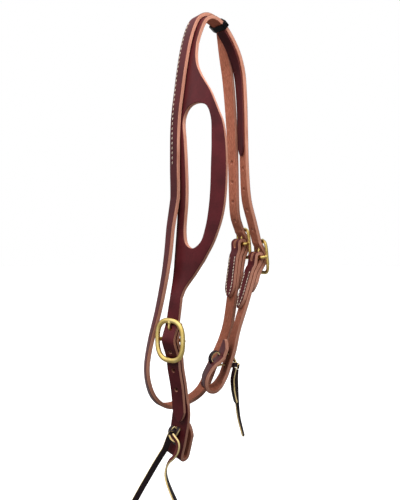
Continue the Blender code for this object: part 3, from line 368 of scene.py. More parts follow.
class Recipe:
    """A material that is built node by node."""

    def __init__(self, name):
        self.material = bpy.data.materials.new(name)
        self.material.use_nodes = True
        self.tree = self.material.node_tree
        self.shader = self.tree.nodes["Principled BSDF"]

    def give(self, socket, value):
        if isinstance(value, bpy.types.NodeSocket):
            self.tree.links.new(value, socket)
        else:
            socket.default_value = value

    def add(self, kind, inputs, **settings):
        made = self.tree.nodes.new("ShaderNode" + kind)
        for key, value in settings.items():
            setattr(made, key, value)
        for key, value in inputs.items():
            self.give(made.inputs[key], value)
        return made

    def noise(self, vector, scale, detail=3.0, roughness=0.55):
        values = {"Vector": vector, "Scale": scale, "Detail": detail, "Roughness": roughness}
        return self.add("TexNoise", values).outputs["Fac"]

    def stretched(self, vector, across, along, out):
        made = self.add("VectorMath", {0: vector, 1: (across, along, out)}, operation="MULTIPLY")
        return made.outputs[0]

    def ramp(self, value, stops):
        made = self.add("ValToRGB", {"Fac": value})
        elements = made.color_ramp.elements
        while len(elements) < len(stops):
            elements.new(0.5)
        for element, (place, colour) in zip(elements, stops):
            element.position = place
            element.color = (*colour, 1.0)
        return made.outputs["Color"]

    def span(self, value, first, last, low=0.0, high=1.0):
        values = {"Value": value, "From Min": first, "From Max": last, "To Min": low, "To Max": high}
        return self.add("MapRange", values, interpolation_type="SMOOTHSTEP").outputs["Result"]

    def blend(self, share, a, b, how="MIX"):
        made = self.tree.nodes.new("ShaderNodeMix")
        made.data_type = "RGBA"
        made.blend_type = how
        self.give(made.inputs[0], share)
        self.give(made.inputs[6], a)
        self.give(made.inputs[7], b)
        return made.outputs[2]

    def level(self, share, a, b):
        made = self.tree.nodes.new("ShaderNodeMix")
        self.give(made.inputs[0], share)
        self.give(made.inputs[2], a)
        self.give(made.inputs[3], b)
        return made.outputs[0]

    def bump(self, height, strength, distance):
        made = self.add("Bump", {"Height": height, "Strength": strength, "Distance": distance})
        self.give(self.shader.inputs["Normal"], made.outputs["Normal"])


# Heights between which the cut edge and the flesh go from painted shade by the jaw to painted light by
# the poll
jaw_height = -0.42
poll_height = -0.05


def leather_finish(name, thickness, grain, raw, flesh, gloss, shine=0.12, grain_side=1):
    """Leather with a dyed and rubbed grain, a bare cut edge and a rough flesh side.

    The edge and the flesh are painted darker low down and brighter towards the poll: painted light, as if
    light fell from above.
    """
    made = Recipe(name)
    spot = made.add("Attribute", {}, attribute_name="flat").outputs["Vector"]
    room = made.add("TexCoord", {}).outputs["Object"]
    depth = made.add("SeparateXYZ", {0: spot}).outputs["Z"]
    grain_depth = grain_side * thickness / 2
    depths = {"Value": depth, "From Min": -grain_depth, "From Max": grain_depth}
    depth = made.add("MapRange", depths).outputs["Result"]
    cloud = made.noise(room, 34.0, 4.0)
    pores = made.noise(room, 1250.0, 2.0)
    fibres = made.noise(made.stretched(spot, 950.0, 210.0, 950.0), 1.0, 4.0, 0.7)
    layers = made.noise(made.stretched(spot, 240.0, 42.0, 2600.0), 1.0, 3.0, 0.6)
    grain_colour = made.ramp(cloud, [(0.34, grain[0]), (0.66, grain[1])])
    in_pores = made.span(pores, 0.30, 0.48, 0.45, 0.0)
    grain_colour = made.blend(in_pores, grain_colour, (*grain[2], 1.0))
    raw_colour = made.ramp(layers, [(0.30, raw[0]), (0.52, raw[1]), (0.74, raw[2])])
    shades = ((0.06, 0.55), (0.20, 1.0), (0.50, 0.80), (0.72, 1.0), (0.92, 0.50))
    worn = made.ramp(depth, [(place, (shade,) * 3) for place, shade in shades])
    raw_colour = made.blend(1.0, raw_colour, worn, "MULTIPLY")
    flesh_colour = made.ramp(fibres, [(0.28, flesh[0]), (0.52, flesh[1]), (0.75, flesh[2])])
    in_cloud = made.span(cloud, 0.35, 0.65, 0.0, 0.35)
    flesh_colour = made.blend(in_cloud, flesh_colour, (*flesh[0], 1.0))
    height = made.add("SeparateXYZ", {0: room}).outputs["Z"]
    # Painted light: the edge and flesh colours are multiplied by a factor that rises with height, darker
    # by the jaw and brighter by the poll.
    painted_top_light = made.span(height, jaw_height, poll_height, 0.88, 1.75)
    raw_colour = made.blend(1.0, raw_colour, painted_top_light, "MULTIPLY")
    flesh_colour = made.blend(1.0, flesh_colour, painted_top_light, "MULTIPLY")
    on_grain = made.span(depth, 0.885, 0.955)
    on_flesh = made.span(depth, 0.045, 0.105, 1.0, 0.0)
    colour = made.blend(on_grain, raw_colour, grain_colour)
    colour = made.blend(on_flesh, colour, flesh_colour)
    made.give(made.shader.inputs["Base Color"], colour)
    raw_rough = made.span(layers, 0.3, 0.7, 0.42, 0.60)
    grain_rough = made.span(cloud, 0.3, 0.7, *gloss)
    rough = made.level(on_grain, raw_rough, grain_rough)
    rough = made.level(on_flesh, rough, made.span(fibres, 0.3, 0.7, 0.80, 0.95))
    made.give(made.shader.inputs["Roughness"], rough)
    relief = made.level(on_grain, layers, pores)
    relief = made.level(on_flesh, relief, fibres)
    made.bump(relief, 0.30, 0.00035)
    made.shader.inputs["Specular IOR Level"].default_value = shine
    return made.material


def dress(piece, name, finish, body, nodes=(), sharp=42.0):
    """Names a finished piece, shades it, and lets it ride on its body for its CAD nodes."""
    piece.name = piece.data.name = name
    piece.data.materials.clear()
    piece.data.materials.append(finish)
    select_only(piece)
    bpy.ops.object.shade_smooth_by_angle(angle=math.radians(sharp))
    apply_modifier(piece, "WEIGHTED_NORMAL", keep_sharp=True)
    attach(piece, body)
    if nodes:
        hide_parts(*nodes)
    return piece


def turned(point, degrees):
    """A row of a point and of the level way to the front edge."""
    return (*point, math.cos(math.radians(degrees)), math.sin(math.radians(degrees)), 0.0)


def turned_rows(rows):
    return [turned(row[:3], row[3]) for row in rows]


latigo_grain = ((0.010, 0.005, 0.007), (0.022, 0.009, 0.012), (0.006, 0.003, 0.004))
latigo_cut = ((0.84, 0.56, 0.20), (0.98, 0.76, 0.36), (1.00, 0.88, 0.52))
latigo_back = ((0.060, 0.012, 0.012), (0.110, 0.024, 0.022), (0.160, 0.045, 0.035))
latigo = (latigo_grain, latigo_cut, latigo_back, (0.24, 0.36), 0.20)
near_lace_finish = leather_finish("near_lace_leather", near_tail_thickness, *latigo)
far_lace_finish = leather_finish("far_lace_leather", far_tail_thickness, *latigo)
near_lace = (near_tail_width, near_tail_thickness, near_lace_finish, "headstall")
far_lace = (far_tail_width, far_tail_thickness, far_lace_finish, "far_lower_cheek")


def lace_tail(name, node, points, width, thickness, finish, body):
    """A free end of lace, cut to a slanted point and laid along its route as a cord."""
    route = Route(smooth_line(turned_rows(points), per_span=6))
    half = width / 2
    end = route.length
    point = [(half, end - half), (half * 0.2, end), (-half, end - half * 0.4)]
    tail = cut_flat([(half, 0.0), *point, (-half, 0.0)], thickness)
    soften(tail, lace_round, 2, 40)
    crease(tail, crease_places(route, 0.08, 0.004))
    lay(tail, route)
    dress(tail, name, finish, body, [node])


lace_tail("near_long_lace_end", "near_lace_long_tail", near_long_tail, *near_lace)
lace_tail("near_short_lace_end", "near_lace_short_tail", near_short_tail, *near_lace)
lace_tail("far_front_lace_end", "far_lace_front_tail", far_front_tail, *far_lace)
lace_tail("far_back_lace_end", "far_lace_back_tail", far_back_tail, *far_lace)

# Cheek strap and crown
# One length of heavy harness leather with a glossy burgundy grain: the near tail with its
# spare holes, the ear panel with its slot, the crown, and the far billet, which goes over
# its buckle's bar. Its edges are cut and left bare, so the tan middle of the leather shows.
hang_height = 0.486
half_spread = 0.060
strap_width = 0.016
leather = 0.0046
seat_gap = 0.0004
layer = leather + seat_gap
edge_round = 0.0007
tip_length = 0.011
tip_blunt = 0.0024
punch = 0.0046
stretched_hole = 0.0088
near_tongue_rise = 0.58
near_hole_fall = 0.57
near_hole_pitch = 0.0215
far_hole_pitch = 0.0245
panel_reach = 0.0600
panel_length = 0.281
panel_curl_radius = 0.147
panel_foot_share = -0.6421
ear_slot_width = 0.0405
ear_slot_length = 0.155
ear_slot_foot_share = 0.190
cheek_tip_share = 0.093
cheek_chape_length = 0.070
# Each row is the place of the strap's centre, to the front in strap widths, to the side in
# half spreads and down in hang heights, and the turn of its front edge in degrees.
near_tail_shares = (
    (0.20, -0.750, -0.9196, 2),
    (0.26, -0.825, -0.8476, 4),
    (0.22, -0.895, -0.8006, 6),
)
crown_shares = (
    (0.36, -0.883, -0.6486, 1),
    (0.20, -0.783, -0.6026, -8),
    (0.06, -0.708, -0.5416, -15),
    (0.19, -0.667, -0.4236, -16),
    (0.12, -0.663, -0.3416, -15),
    (0.02, -0.628, -0.2486, -14),
    (0.06, -0.548, -0.1726, -13),
    (0.10, -0.485, -0.1216, -12),
    (0.14, -0.398, -0.0736, -11),
    (0.16, -0.296, -0.0386, -10),
    (0.16, -0.165, -0.0120, -10),
    (0.14, -0.015, -0.0010, -11),
    (0.14, 0.125, 0.0000, -12),
    (0.18, 0.250, -0.0050, -12),
    (0.24, 0.370, -0.0155, -12),
    (0.31, 0.470, -0.0290, -12),
    (0.38, 0.570, -0.0460, -12),
    (0.43, 0.665, -0.0655, -12),
    (0.47, 0.745, -0.0870, -14),
    (0.49, 0.820, -0.1170, -18),
    (0.51, 0.868, -0.1706, -22),
    (0.51, 0.903, -0.2596, -24),
    (0.51, 0.930, -0.3476, -22),
    (0.53, 0.985, -0.4176, -18),
    (0.66, 1.105, -0.4696, -19),
)
cheek_under_shares = (
    (0.74, 0.880, -0.6596, -24),
    (0.70, 0.710, -0.7076, -26),
    (0.58, 0.600, -0.7486, -28),
    (0.42, 0.550, -0.7826, -30),
    (0.30, 0.477, -0.8116, -32),
    (0.24, 0.393, -0.8356, -34),
    (0.22, 0.225, -0.8555, -36),
    (0.22, 0.045, -0.8610, -37),
    (0.22, -0.080, -0.8545, -37),
    (0.22, -0.110, -0.8410, -37),
    (0.22, -0.065, -0.8270, -37),
    (0.23, 0.080, -0.8090, -37),
    (0.26, 0.277, -0.7950, -36),
    (0.30, 0.350, -0.7836, -35),
    (0.34, 0.400, -0.7676, -34),
    (0.36, 0.415, -0.7516, -34),
)
# The ear panel, along its length and out over its reach, and its slot's outline
panel_outline_shares = (
    (0.053, 0.05), (0.089, 0.11), (0.114, 0.18), (0.146, 0.29), (0.181, 0.43), (0.221, 0.59),
    (0.274, 0.74), (0.313, 0.83), (0.352, 0.91), (0.423, 0.975), (0.527, 1.00), (0.662, 0.95),
    (0.730, 0.87), (0.800, 0.74), (0.861, 0.56), (0.900, 0.39), (0.940, 0.20), (0.972, 0.06),
)
ear_slot_shares = (
    (0.00, 0.42), (0.035, 0.80), (0.13, 0.987), (0.28, 1.03), (0.44, 1.02), (0.71, 0.96),
    (0.84, 0.89), (0.95, 0.74), (1.00, 0.44), (0.965, 0.13), (0.88, 0.00), (0.66, 0.013),
    (0.44, 0.01), (0.25, -0.05), (0.09, -0.12), (0.02, 0.06),
)


def hang(shares):
    """Rows from shares; drops are measured from the crown's mid thickness."""
    rows = []
    for front, side, drop, turn in shares:
        place = (front * strap_width, side * half_spread, leather / 2 + drop * hang_height)
        rows.append(turned(place, turn))
    return rows


class Buckle:
    """Where a buckle sits, its sizes, and the lines that leather takes over its bar."""

    def __init__(
        self, share, turn, lean, side, width, height, rail, bar, set_back, power, leave=None
    ):
        self.centre = np.array(hang([(*share, turn)])[0][:3])
        self.front = np.array([math.cos(math.radians(turn)), math.sin(math.radians(turn)), 0.0])
        up = np.array([0.0, -side * math.sin(math.radians(lean)), math.cos(math.radians(lean))])
        up -= up.dot(self.front) * self.front
        self.up = up / np.linalg.norm(up)
        self.out = -side * np.cross(self.front, self.up)
        self.width, self.rail, self.bar = width, rail, bar
        self.set_back, self.power, self.leave = set_back, power, leave
        self.half_height = (height - rail) / 2
        self.wrap_radius = bar / 2 + seat_gap + leather / 2
        self.over_radius = self.wrap_radius + layer
        self.rail_radius = rail / 2 + seat_gap + leather / 2

    def place(self, across, height, out):
        return self.centre + across * self.front + height * self.up + out * self.out

    def row(self, height, out):
        return (*self.place(0.0, height, out), *self.front)

    def matrix(self):
        axes = Matrix((self.front, self.up, np.cross(self.front, self.up))).transposed().to_4x4()
        return Matrix.Translation(Vector(self.centre)) @ axes

    def over_rows(self):
        """The strap over the bar, drawn straight from its curve to the curve inside each rail."""
        apart = math.hypot(self.half_height, self.set_back)
        slope = math.asin((self.over_radius + self.rail_radius) / apart)
        slope -= math.atan2(self.set_back, self.half_height)
        upper = []
        for share in (0.0, 0.5, 1.0):
            up, out = math.sin(slope * share), math.cos(slope * share)
            upper.append((self.half_height - self.rail_radius * up, -self.rail_radius * out))
        for share in (1.0, 0.5):
            up, out = math.sin(slope * share), math.cos(slope * share)
            upper.append((self.over_radius * up, self.over_radius * out - self.set_back))
        middle = [(0.0, self.over_radius - self.set_back)]
        if self.leave is None:
            lower = [(-height, out) for height, out in reversed(upper)]
        else:
            lower = []
            angle = math.radians(self.leave)
            for share in (0.33, 0.67, 1.0):
                height = -self.over_radius * math.sin(angle * share)
                lower.append((height, self.over_radius * math.cos(angle * share) - self.set_back))
            fall = self.half_height + height
            lower.append((height - fall, lower[-1][1] - fall * math.tan(angle)))
        return [self.row(height, out) for height, out in [*upper, *middle, *lower]]

    def wrap_rows(self):
        """A chape round the bar, from its inner leg over the top to its outer leg."""
        rows = []
        for degrees in (0, 30, 60, 90, 120, 150):
            up, out = math.sin(math.radians(degrees)), math.cos(math.radians(degrees))
            rows.append(self.row(self.wrap_radius * up, -self.set_back - self.wrap_radius * out))
        return rows

    def under_rows(self):
        """The chape's outer leg, one layer inside the strap that passes over it."""
        line = Route(smooth_line(self.over_rows()))
        first = line.nearest(self.place(0.0, 0.0, self.over_radius - self.set_back))
        return line.beside(-layer, first, line.length)

    def bar_centre(self):
        return self.place(0.0, 0.0, -self.set_back)

    def tongue_along(self, route):
        """Where a far tongue comes out through the billet, between the top rail and the bar."""
        return route.nearest(self.place(0.0, self.half_height * 0.56, 0.0), 0.7, 1.0)


near_buckle = Buckle(
    (0.23, -1.000, -0.7366), turn=6, lean=0, side=-1, width=0.0415, height=0.048,
    rail=0.0058, bar=0.0046, set_back=0.008, power=2.7,
)
cheek_buckle = Buckle(
    (0.84, 1.345, -0.5556), turn=-20, lean=6, side=1, width=0.0305, height=0.043,
    rail=0.0044, bar=0.0040, set_back=0.007, power=4.2, leave=37,
)


def folded_route(buckle, own_rows, chape_length):
    """A strap folded round a buckle's bar: the inner leg, the wrap and the strap's own way on."""
    main = Route(smooth_line([*buckle.under_rows(), *own_rows]))
    inner = main.beside(-layer, buckle.half_height * 0.75, chape_length)
    rows = [*reversed(inner), *buckle.wrap_rows(), *main.rows[::8].tolist()]
    if np.linalg.norm(np.array(rows[-1][:3]) - main.rows[-1][:3]) > least_step:
        rows.append(tuple(main.rows[-1]))
    return main, Route(smooth_line(rows, per_span=8))


cheek_under, cheek_lower_route = folded_route(cheek_buckle, hang(cheek_under_shares), cheek_chape_length)
crown_rows = hang(near_tail_shares) + list(reversed(near_buckle.over_rows())) + hang(crown_shares)
crown_rows += cheek_buckle.over_rows()
crown_rows += cheek_under.beside(layer, cheek_buckle.half_height * 1.5, cheek_tip_share * hang_height)
cheek_route = Route(smooth_line(crown_rows, per_span=10))
near_tongue_height = near_buckle.centre[2] + near_buckle.half_height * near_tongue_rise
near_tongue_along = cheek_route.where(near_tongue_height, -1)
near_hole_height = near_buckle.centre[2] - near_buckle.half_height * near_hole_fall
near_hole_start = cheek_route.where(near_hole_height, -1)
cheek_tongue_along = cheek_buckle.tongue_along(cheek_route)


def pointed(length, half):
    """Half widths near a strap's two pointed ends, with straight edges between."""
    rise = [(tip_length * share, half * math.sqrt(share)) for share in (0.1, 0.3, 0.5, 0.7, 0.86, 1.0)]
    fall = [(length - along, width) for along, width in reversed(rise)]
    return rise, fall


def punch_tool(across, along, width=punch, stretch=None):
    """A round punch, drawn out along the strap where the hole is stretched."""
    bpy.ops.object.select_all(action="DESELECT")
    bpy.ops.mesh.primitive_cylinder_add(
        vertices=22, radius=width / 2, depth=leather * 4, location=(across, along, 0.0)
    )
    tool = bpy.context.object
    tool.scale = (1.0, (width if stretch is None else stretch) / width, 1.0)
    bpy.ops.object.transform_apply(location=True, rotation=True, scale=True)
    return tool


def punch_row(start, pitch, spares):
    """Spare holes down the middle of a strap, so many pitches before a place along it."""
    return [punch_tool(0.0, start - spare * pitch) for spare in spares]


def cut_out(blank, tools):
    """Takes each tool's shape out of a blank."""
    for tool in tools:
        apply_modifier(blank, "BOOLEAN", solver="EXACT", operation="DIFFERENCE", object=tool)
        bpy.data.objects.remove(tool, do_unlink=True)


def make_strap(outline, thickness, tools, route, crosswise=(), curl_radius=None, rounding=edge_round):
    """A strap: cut, punched, its edges rubbed round, creased where it bends, and laid."""
    strap = cut_flat(outline, thickness)
    cut_out(strap, tools)
    soften(strap, rounding, 3, 50, clamp=False)
    crease(strap, crease_places(route), crosswise)
    lay(strap, route, curl_radius)
    return strap


half = strap_width / 2
panel_foot = cheek_route.where(leather / 2 + panel_foot_share * hang_height, -1)
panel_head = panel_foot + panel_length
panel = [(panel_foot, half, 0.0)]
for along, out in reversed(panel_outline_shares):
    panel.append((panel_head - along * panel_length, half + out * panel_reach, 0.0))
panel.append((panel_head, half, 0.0))
rise, fall = pointed(cheek_route.length, half)
cheek_outline = [(tip_blunt / 2, 0.0)]
cheek_outline += [(width, along) for along, width in rise]
cheek_outline += [(row[1], row[0]) for row in smooth_line(panel, per_span=6)]
cheek_outline += [(width, along) for along, width in fall]
cheek_outline += [(tip_blunt / 2, cheek_route.length), (-tip_blunt / 2, cheek_route.length)]
cheek_outline += [(-width, along) for along, width in reversed(fall)]
cheek_outline += [(-width, along) for along, width in reversed(rise)]
cheek_outline += [(-tip_blunt / 2, 0.0)]
slot_head = panel_foot + ear_slot_foot_share * panel_length + ear_slot_length
slot_rows = []
for along, across in ear_slot_shares:
    slot_rows.append((half + across * ear_slot_width, slot_head - along * ear_slot_length, 0.0))
slot_outline = [(row[0], row[1]) for row in smooth_line(slot_rows, per_span=5, closed=True)]
cheek_tools = [cut_flat(slot_outline, leather * 4), punch_tool(0.0, near_tongue_along)]
cheek_tools += punch_row(near_hole_start, near_hole_pitch, range(3))
cheek_tools.append(punch_tool(0.0, cheek_tongue_along, stretch=stretched_hole))
cheek_tools += punch_row(cheek_tongue_along, far_hole_pitch, range(1, 5))
columns = [half + panel_reach * (step + 0.4) / 9 for step in range(9)]
burgundy = ((0.052, 0.0072, 0.0092), (0.092, 0.0130, 0.0165), (0.030, 0.0040, 0.0055))
cut_edge = ((0.30, 0.122, 0.082), (0.47, 0.215, 0.148), (0.57, 0.31, 0.225))
flesh_side = ((0.17, 0.055, 0.031), (0.32, 0.108, 0.066), (0.45, 0.178, 0.115))
harness_finish = leather_finish("harness_leather", leather, burgundy, cut_edge, flesh_side, (0.30, 0.44))
cheek_strap = make_strap(cheek_outline, leather, cheek_tools, cheek_route, columns, panel_curl_radius)
dress(
    cheek_strap, "cheek_and_crown_leather", harness_finish, "headstall",
    ["cheek_and_crown_strap"],
)

# Throat strap
# The second long strap of the same leather. It is folded round its own buckle on the far
# side, goes under the jaw and up the near side, lies sewn on the cheek strap's rear half
# and over the crown, and comes down to the same buckle as a second billet.
crown_gap = 0.0006
throat_chape_length = 0.069
throat_hole_pitch = far_hole_pitch * 0.96
over_step = 0.0065
throat_tip_share = 0.121
chape_slot_width = 0.0060
chape_slot_length = 0.0240
throat_far_shares = (
    (-0.62, 0.698, -0.0776, -8),
    (-0.61, 0.755, -0.1076, -5),
    (-0.60, 0.803, -0.1476, -5),
    (-0.59, 0.862, -0.2196, -8),
    (-0.61, 0.925, -0.3196, -12),
    (-0.68, 0.975, -0.4226, -14),
    (-0.80, 1.050, -0.4576, -16),
)
throat_under_shares = (
    (-0.82, 0.945, -0.6626, -10),
    (-0.94, 0.865, -0.7266, -10),
    (-1.12, 0.750, -0.7696, -10),
    (-1.38, 0.530, -0.8216, -10),
    (-1.52, 0.340, -0.8676, -10),
    (-1.62, 0.130, -0.8886, -10),
    (-1.74, -0.230, -0.9006, -10),
    (-1.86, -0.620, -0.8996, -12),
    (-1.90, -0.920, -0.8686, -24),
    (-1.86, -1.065, -0.8096, -32),
    (-1.74, -0.980, -0.7386, -31),
    (-1.34, -0.935, -0.6876, -29),
    (-0.80, -0.900, -0.6126, -26),
    (-0.65, -0.830, -0.5476, -23),
    (-0.60, -0.780, -0.4876, -21),
)
# Where it lies on the cheek strap, and how it moves off behind it beyond the crown
throat_slide_shares = (
    (-0.4276, 0.58),
    (-0.2476, 0.44),
    (-0.1216, 0.40),
    (-0.0676, 0.44),
)
parting_shares = (
    (-0.250, 0.50, 1.00),
    (0.000, 0.52, 1.00),
    (0.260, 0.56, 1.00),
    (0.400, 0.56, 1.00),
    (0.450, 0.75, 1.00),
    (0.500, 1.04, 0.95),
    (0.560, 1.10, 0.45),
)
throat_buckle = Buckle(
    (-0.84, 1.320, -0.5226), turn=-16, lean=6, side=1, width=0.0295, height=0.039,
    rail=0.0044, bar=0.0040, set_back=0.007, power=4.2, leave=32,
)


def far_along(side_share):
    """The length along the crown at which it has come this far out to the far side."""
    return cheek_route.along[int(np.argmax(cheek_route.points[:, 1] >= side_share * half_spread))]


slide = []
for drop, back in throat_slide_shares:
    slide.append((cheek_route.where(leather / 2 + drop * hang_height, -1), back, 1.0))
for side, back, rise_share in parting_shares:
    slide.append((far_along(side), back, rise_share))
slide_along, slide_back, slide_rise = np.array(slide).T
over_count = int((slide_along[-1] - slide_along[0]) / over_step)
over_along = np.linspace(slide_along[0], slide_along[-1], over_count)
over_places = cheek_route.place(
    over_along,
    -np.interp(over_along, slide_along, slide_back) * strap_width,
    np.interp(over_along, slide_along, slide_rise) * (leather + crown_gap),
)
over_fronts = cheek_route.read(cheek_route.rows[:, 3:6], over_along)
throat_rows = [
    *hang(throat_under_shares),
    *np.hstack([over_places, over_fronts]).tolist(),
    *hang(throat_far_shares),
    *throat_buckle.over_rows(),
]
throat_main, throat_folded = folded_route(throat_buckle, throat_rows, throat_chape_length)
throat_tip = throat_main.beside(layer, throat_buckle.half_height * 1.5, throat_tip_share * hang_height)
throat_route = Route(smooth_line([*throat_folded.rows[::6].tolist(), *throat_tip], per_span=6))


def slot_tool(buckle, route):
    """The long round-ended slot of a chape, in which the tongue turns."""
    along = route.nearest(buckle.place(0.0, buckle.wrap_radius, -buckle.set_back), 0.0, 0.4)
    straight = (chape_slot_length - chape_slot_width) / 2
    radius = chape_slot_width / 2
    outline = []
    for centre, turn in ((along + straight, 0.0), (along - straight, math.pi)):
        for step in range(9):
            angle = math.pi * step / 8 + turn
            outline.append((radius * math.cos(angle), centre + radius * math.sin(angle)))
    return cut_flat(outline, leather * 4)


def strap_outline(length, half_widths, point_start=True, point_end=True):
    """Both edges of a strap as (across, along), from a list of (along, half width)."""
    start = [(tip_blunt / 2, 0.0)] if point_start else []
    end = [(tip_blunt / 2, length)] if point_end else []
    front = [*start, *[(width, along) for along, width in half_widths], *end]
    return front + [(-across, along) for across, along in reversed(front)]


throat_tongue_along = throat_buckle.tongue_along(throat_route)
throat_tools = [slot_tool(throat_buckle, throat_route)]
throat_tools.append(punch_tool(0.0, throat_tongue_along, stretch=stretched_hole))
throat_tools += punch_row(throat_tongue_along, throat_hole_pitch, range(1, 5))
rise, fall = pointed(throat_route.length, half)
throat_outline = strap_outline(throat_route.length, [*rise, *fall])
throat_strap = make_strap(throat_outline, leather, throat_tools, throat_route)
dress(throat_strap, "throat_leather", harness_finish, "headstall", ["throat_strap"])

# Far cheek's lower strap
# Its top is folded round the cheek buckle's bar and sewn. Its wider lower end is folded up
# inside itself to a loop that holds the bit's ring, and the lap is tied with lace.
bit_end_width = 0.0238
bit_end_flare = 0.026
# How far along its flare a bit end is, and how much of its extra width is left there
flare_shares = ((0.0, 1.0), (0.25, 0.84), (0.5, 0.5), (0.75, 0.16), (1.0, 0.0))
far_loop_lap = 0.129
lace_hole = 0.0050
far_lace_spacing = 0.0130
far_tie_across = -0.10 * bit_end_width
far_tie_inner_share = -0.7983
far_tie_outer_share = -0.8036


def far_tie_along(outer):
    """Where the far lace goes through each leg of its bit loop."""
    lowest = int(np.argmin(cheek_lower_route.points[:, 2]))
    share = far_tie_outer_share if outer else far_tie_inner_share
    gap = np.abs(cheek_lower_route.points[:, 2] - (leather / 2 + share * hang_height))
    gap[cheek_lower_route.along < 2 * cheek_chape_length] = np.inf
    if outer:
        gap[lowest:] = np.inf
    else:
        gap[:lowest] = np.inf
    return cheek_lower_route.along[int(np.argmin(gap))]


wide = bit_end_width / 2


def flare(wide_place, way):
    """Rows of a length along and a half width, from where a bit end is at its widest."""
    rows = []
    for away, extra in flare_shares:
        rows.append((wide_place + way * bit_end_flare * away, half + (wide - half) * extra))
    return rows


def lace_holes(legs, across, spacing):
    """Two holes, one above the other, through each leg of a bit loop."""
    return [punch_tool(across, leg + sign * spacing / 2, lace_hole) for leg in legs for sign in (-1, 1)]


lower_edge = [
    *pointed(cheek_lower_route.length, half)[0],
    *reversed(flare(cheek_lower_route.length - far_loop_lap, -1)),
    *pointed(cheek_lower_route.length, wide)[1],
]
lower_outline = strap_outline(cheek_lower_route.length, lower_edge)
far_tie_outer = far_tie_along(True)
far_tie_inner = far_tie_along(False)
lower_tools = [slot_tool(cheek_buckle, cheek_lower_route)]
lower_tools += lace_holes((far_tie_outer, far_tie_inner), far_tie_across, far_lace_spacing)
far_lower = make_strap(lower_outline, leather, lower_tools, cheek_lower_route)
dress(
    far_lower, "far_cheek_lower_leather", harness_finish, "far_lower_cheek",
    ["far_cheek_lower_strap"],
)

# Near bit strap
# A short strap behind the cheek strap's tail, held with it by the near buckle's tongue. Its
# wide lower end is folded back inside itself and tied with lace.
near_paddle = 0.088
near_loop_gap = 0.0050
near_bit_top = 0.0045
tail_gap = 0.0009
near_inner_leg_shares = (
    (-0.10, -0.9290, 2),
    (-0.37, -0.9576, 1),
    (-0.72, -0.9976, 0),
)
near_outer_leg_shares = ((-0.40, -0.9606, 1),)
near_leg_side_share = -0.645
near_leg_tilt = math.radians(13.0)
near_tie_rise_share = 0.060


def tilted(point, degrees):
    """A row whose front edge also hangs lower."""
    turn = math.radians(degrees)
    level = math.cos(near_leg_tilt)
    return (*point, math.cos(turn) * level, math.sin(turn) * level, -math.sin(near_leg_tilt))


outer_side = near_leg_side_share * half_spread
fold_radius = (near_loop_gap + leather) / 2
inner_side = outer_side + 2 * fold_radius
near_rows = []
for front, drop, turn in near_inner_leg_shares:
    place = (front * strap_width, inner_side, leather / 2 + drop * hang_height)
    near_rows.append(tilted(place, turn))
fold_centre = np.array([near_rows[-1][0], (inner_side + outer_side) / 2, near_rows[-1][2]])
fold_down = np.array([-math.sin(near_leg_tilt), 0.0, -math.cos(near_leg_tilt)])
fold_inwards = np.array([0.0, 1.0, 0.0])
for degrees in (36, 72, 108, 144, 180):
    angle = math.radians(degrees)
    way = math.sin(angle) * fold_down + math.cos(angle) * fold_inwards
    near_rows.append(tilted(fold_centre + fold_radius * way, 0))
for front, drop, turn in near_outer_leg_shares:
    place = (front * strap_width, outer_side, leather / 2 + drop * hang_height)
    near_rows.append(tilted(place, turn))
tail_top = cheek_route.where(near_buckle.centre[2] + near_buckle.half_height + near_bit_top, -1)
near_rows += cheek_route.beside(-leather - tail_gap, 1.5 * tip_length, tail_top)
near_bit_route = Route(smooth_line(near_rows, per_span=10))
near_tie_across = -0.15 * bit_end_width
near_lace_spacing = 0.0090
near_lowest = near_bit_route.along[int(np.argmin(near_bit_route.points[:, 2]))]
near_tie_outer = near_lowest + near_tie_rise_share * hang_height
near_tie_inner = near_lowest - near_tie_rise_share * hang_height
tongue_point = cheek_route.place(near_tongue_along)
tongue_grain = cheek_route.frame(near_tongue_along)[2]
blunt_from = near_bit_route.length - tip_length * 0.5
near_edge = [
    *pointed(near_bit_route.length, wide)[0],
    *flare(near_paddle + near_loop_gap, 1),
    *[row for row in pointed(near_bit_route.length, half)[1] if row[0] < blunt_from],
]
near_outline = strap_outline(near_bit_route.length, near_edge, point_end=False)
near_tools = [punch_tool(0.0, near_bit_route.nearest(tongue_point - tongue_grain * layer))]
near_tools += lace_holes((near_tie_outer, near_tie_inner), near_tie_across, near_lace_spacing)
near_bit = make_strap(near_outline, leather, near_tools, near_bit_route)
dress(near_bit, "near_bit_leather", harness_finish, "headstall", ["near_bit_strap"])

# Far billet liner
# A thinner strip of the same dyed leather lies inside the far billet, its grain towards the
# horse, from the keeper down to its pointed end.
lining_leather = 0.0022
lining_width = 0.0145
lining_round = 0.0004
liner_end_share = 0.320
keeper_width = 0.0080
keeper_side_share = 0.310
side_gap = 0.0005
keeper_along = far_along(keeper_side_share)
liner_first = keeper_along + keeper_width / 2 + side_gap
liner_last = keeper_along + liner_end_share * hang_height
liner_depth = -(leather + lining_leather) / 2 - crown_gap
liner_route = Route(smooth_line(cheek_route.beside(liner_depth, liner_first, liner_last)))
liner_tools = []
for spare in range(1, 5):
    along = cheek_tongue_along - spare * far_hole_pitch - liner_first
    if tip_length < along < liner_route.length - tip_length:
        liner_tools.append(punch_tool(0.0, along))
liner_edge = [(0.0, lining_width / 2), *pointed(liner_route.length, lining_width / 2)[1]]
dyed_edge = ((0.055, 0.012, 0.012), (0.085, 0.020, 0.019), (0.120, 0.036, 0.030))
lining_finish = leather_finish(
    "lining_leather", lining_leather, burgundy, dyed_edge, flesh_side, (0.40, 0.56), grain_side=-1
)
liner_outline = strap_outline(liner_route.length, liner_edge, point_start=False)
liner = make_strap(liner_outline, lining_leather, liner_tools, liner_route, rounding=lining_round)
dress(liner, "far_billet_lining", lining_finish, "headstall", ["far_billet_liner"])

# Crown keeper
# A narrow band of glossy black lace leather, drawn round both crown straps on the far side
# of the poll, where they begin to part.
keeper_leather = 0.0014
keeper_room = 0.0007
keeper_round = 0.0011
keeper_edge_round = 0.0003


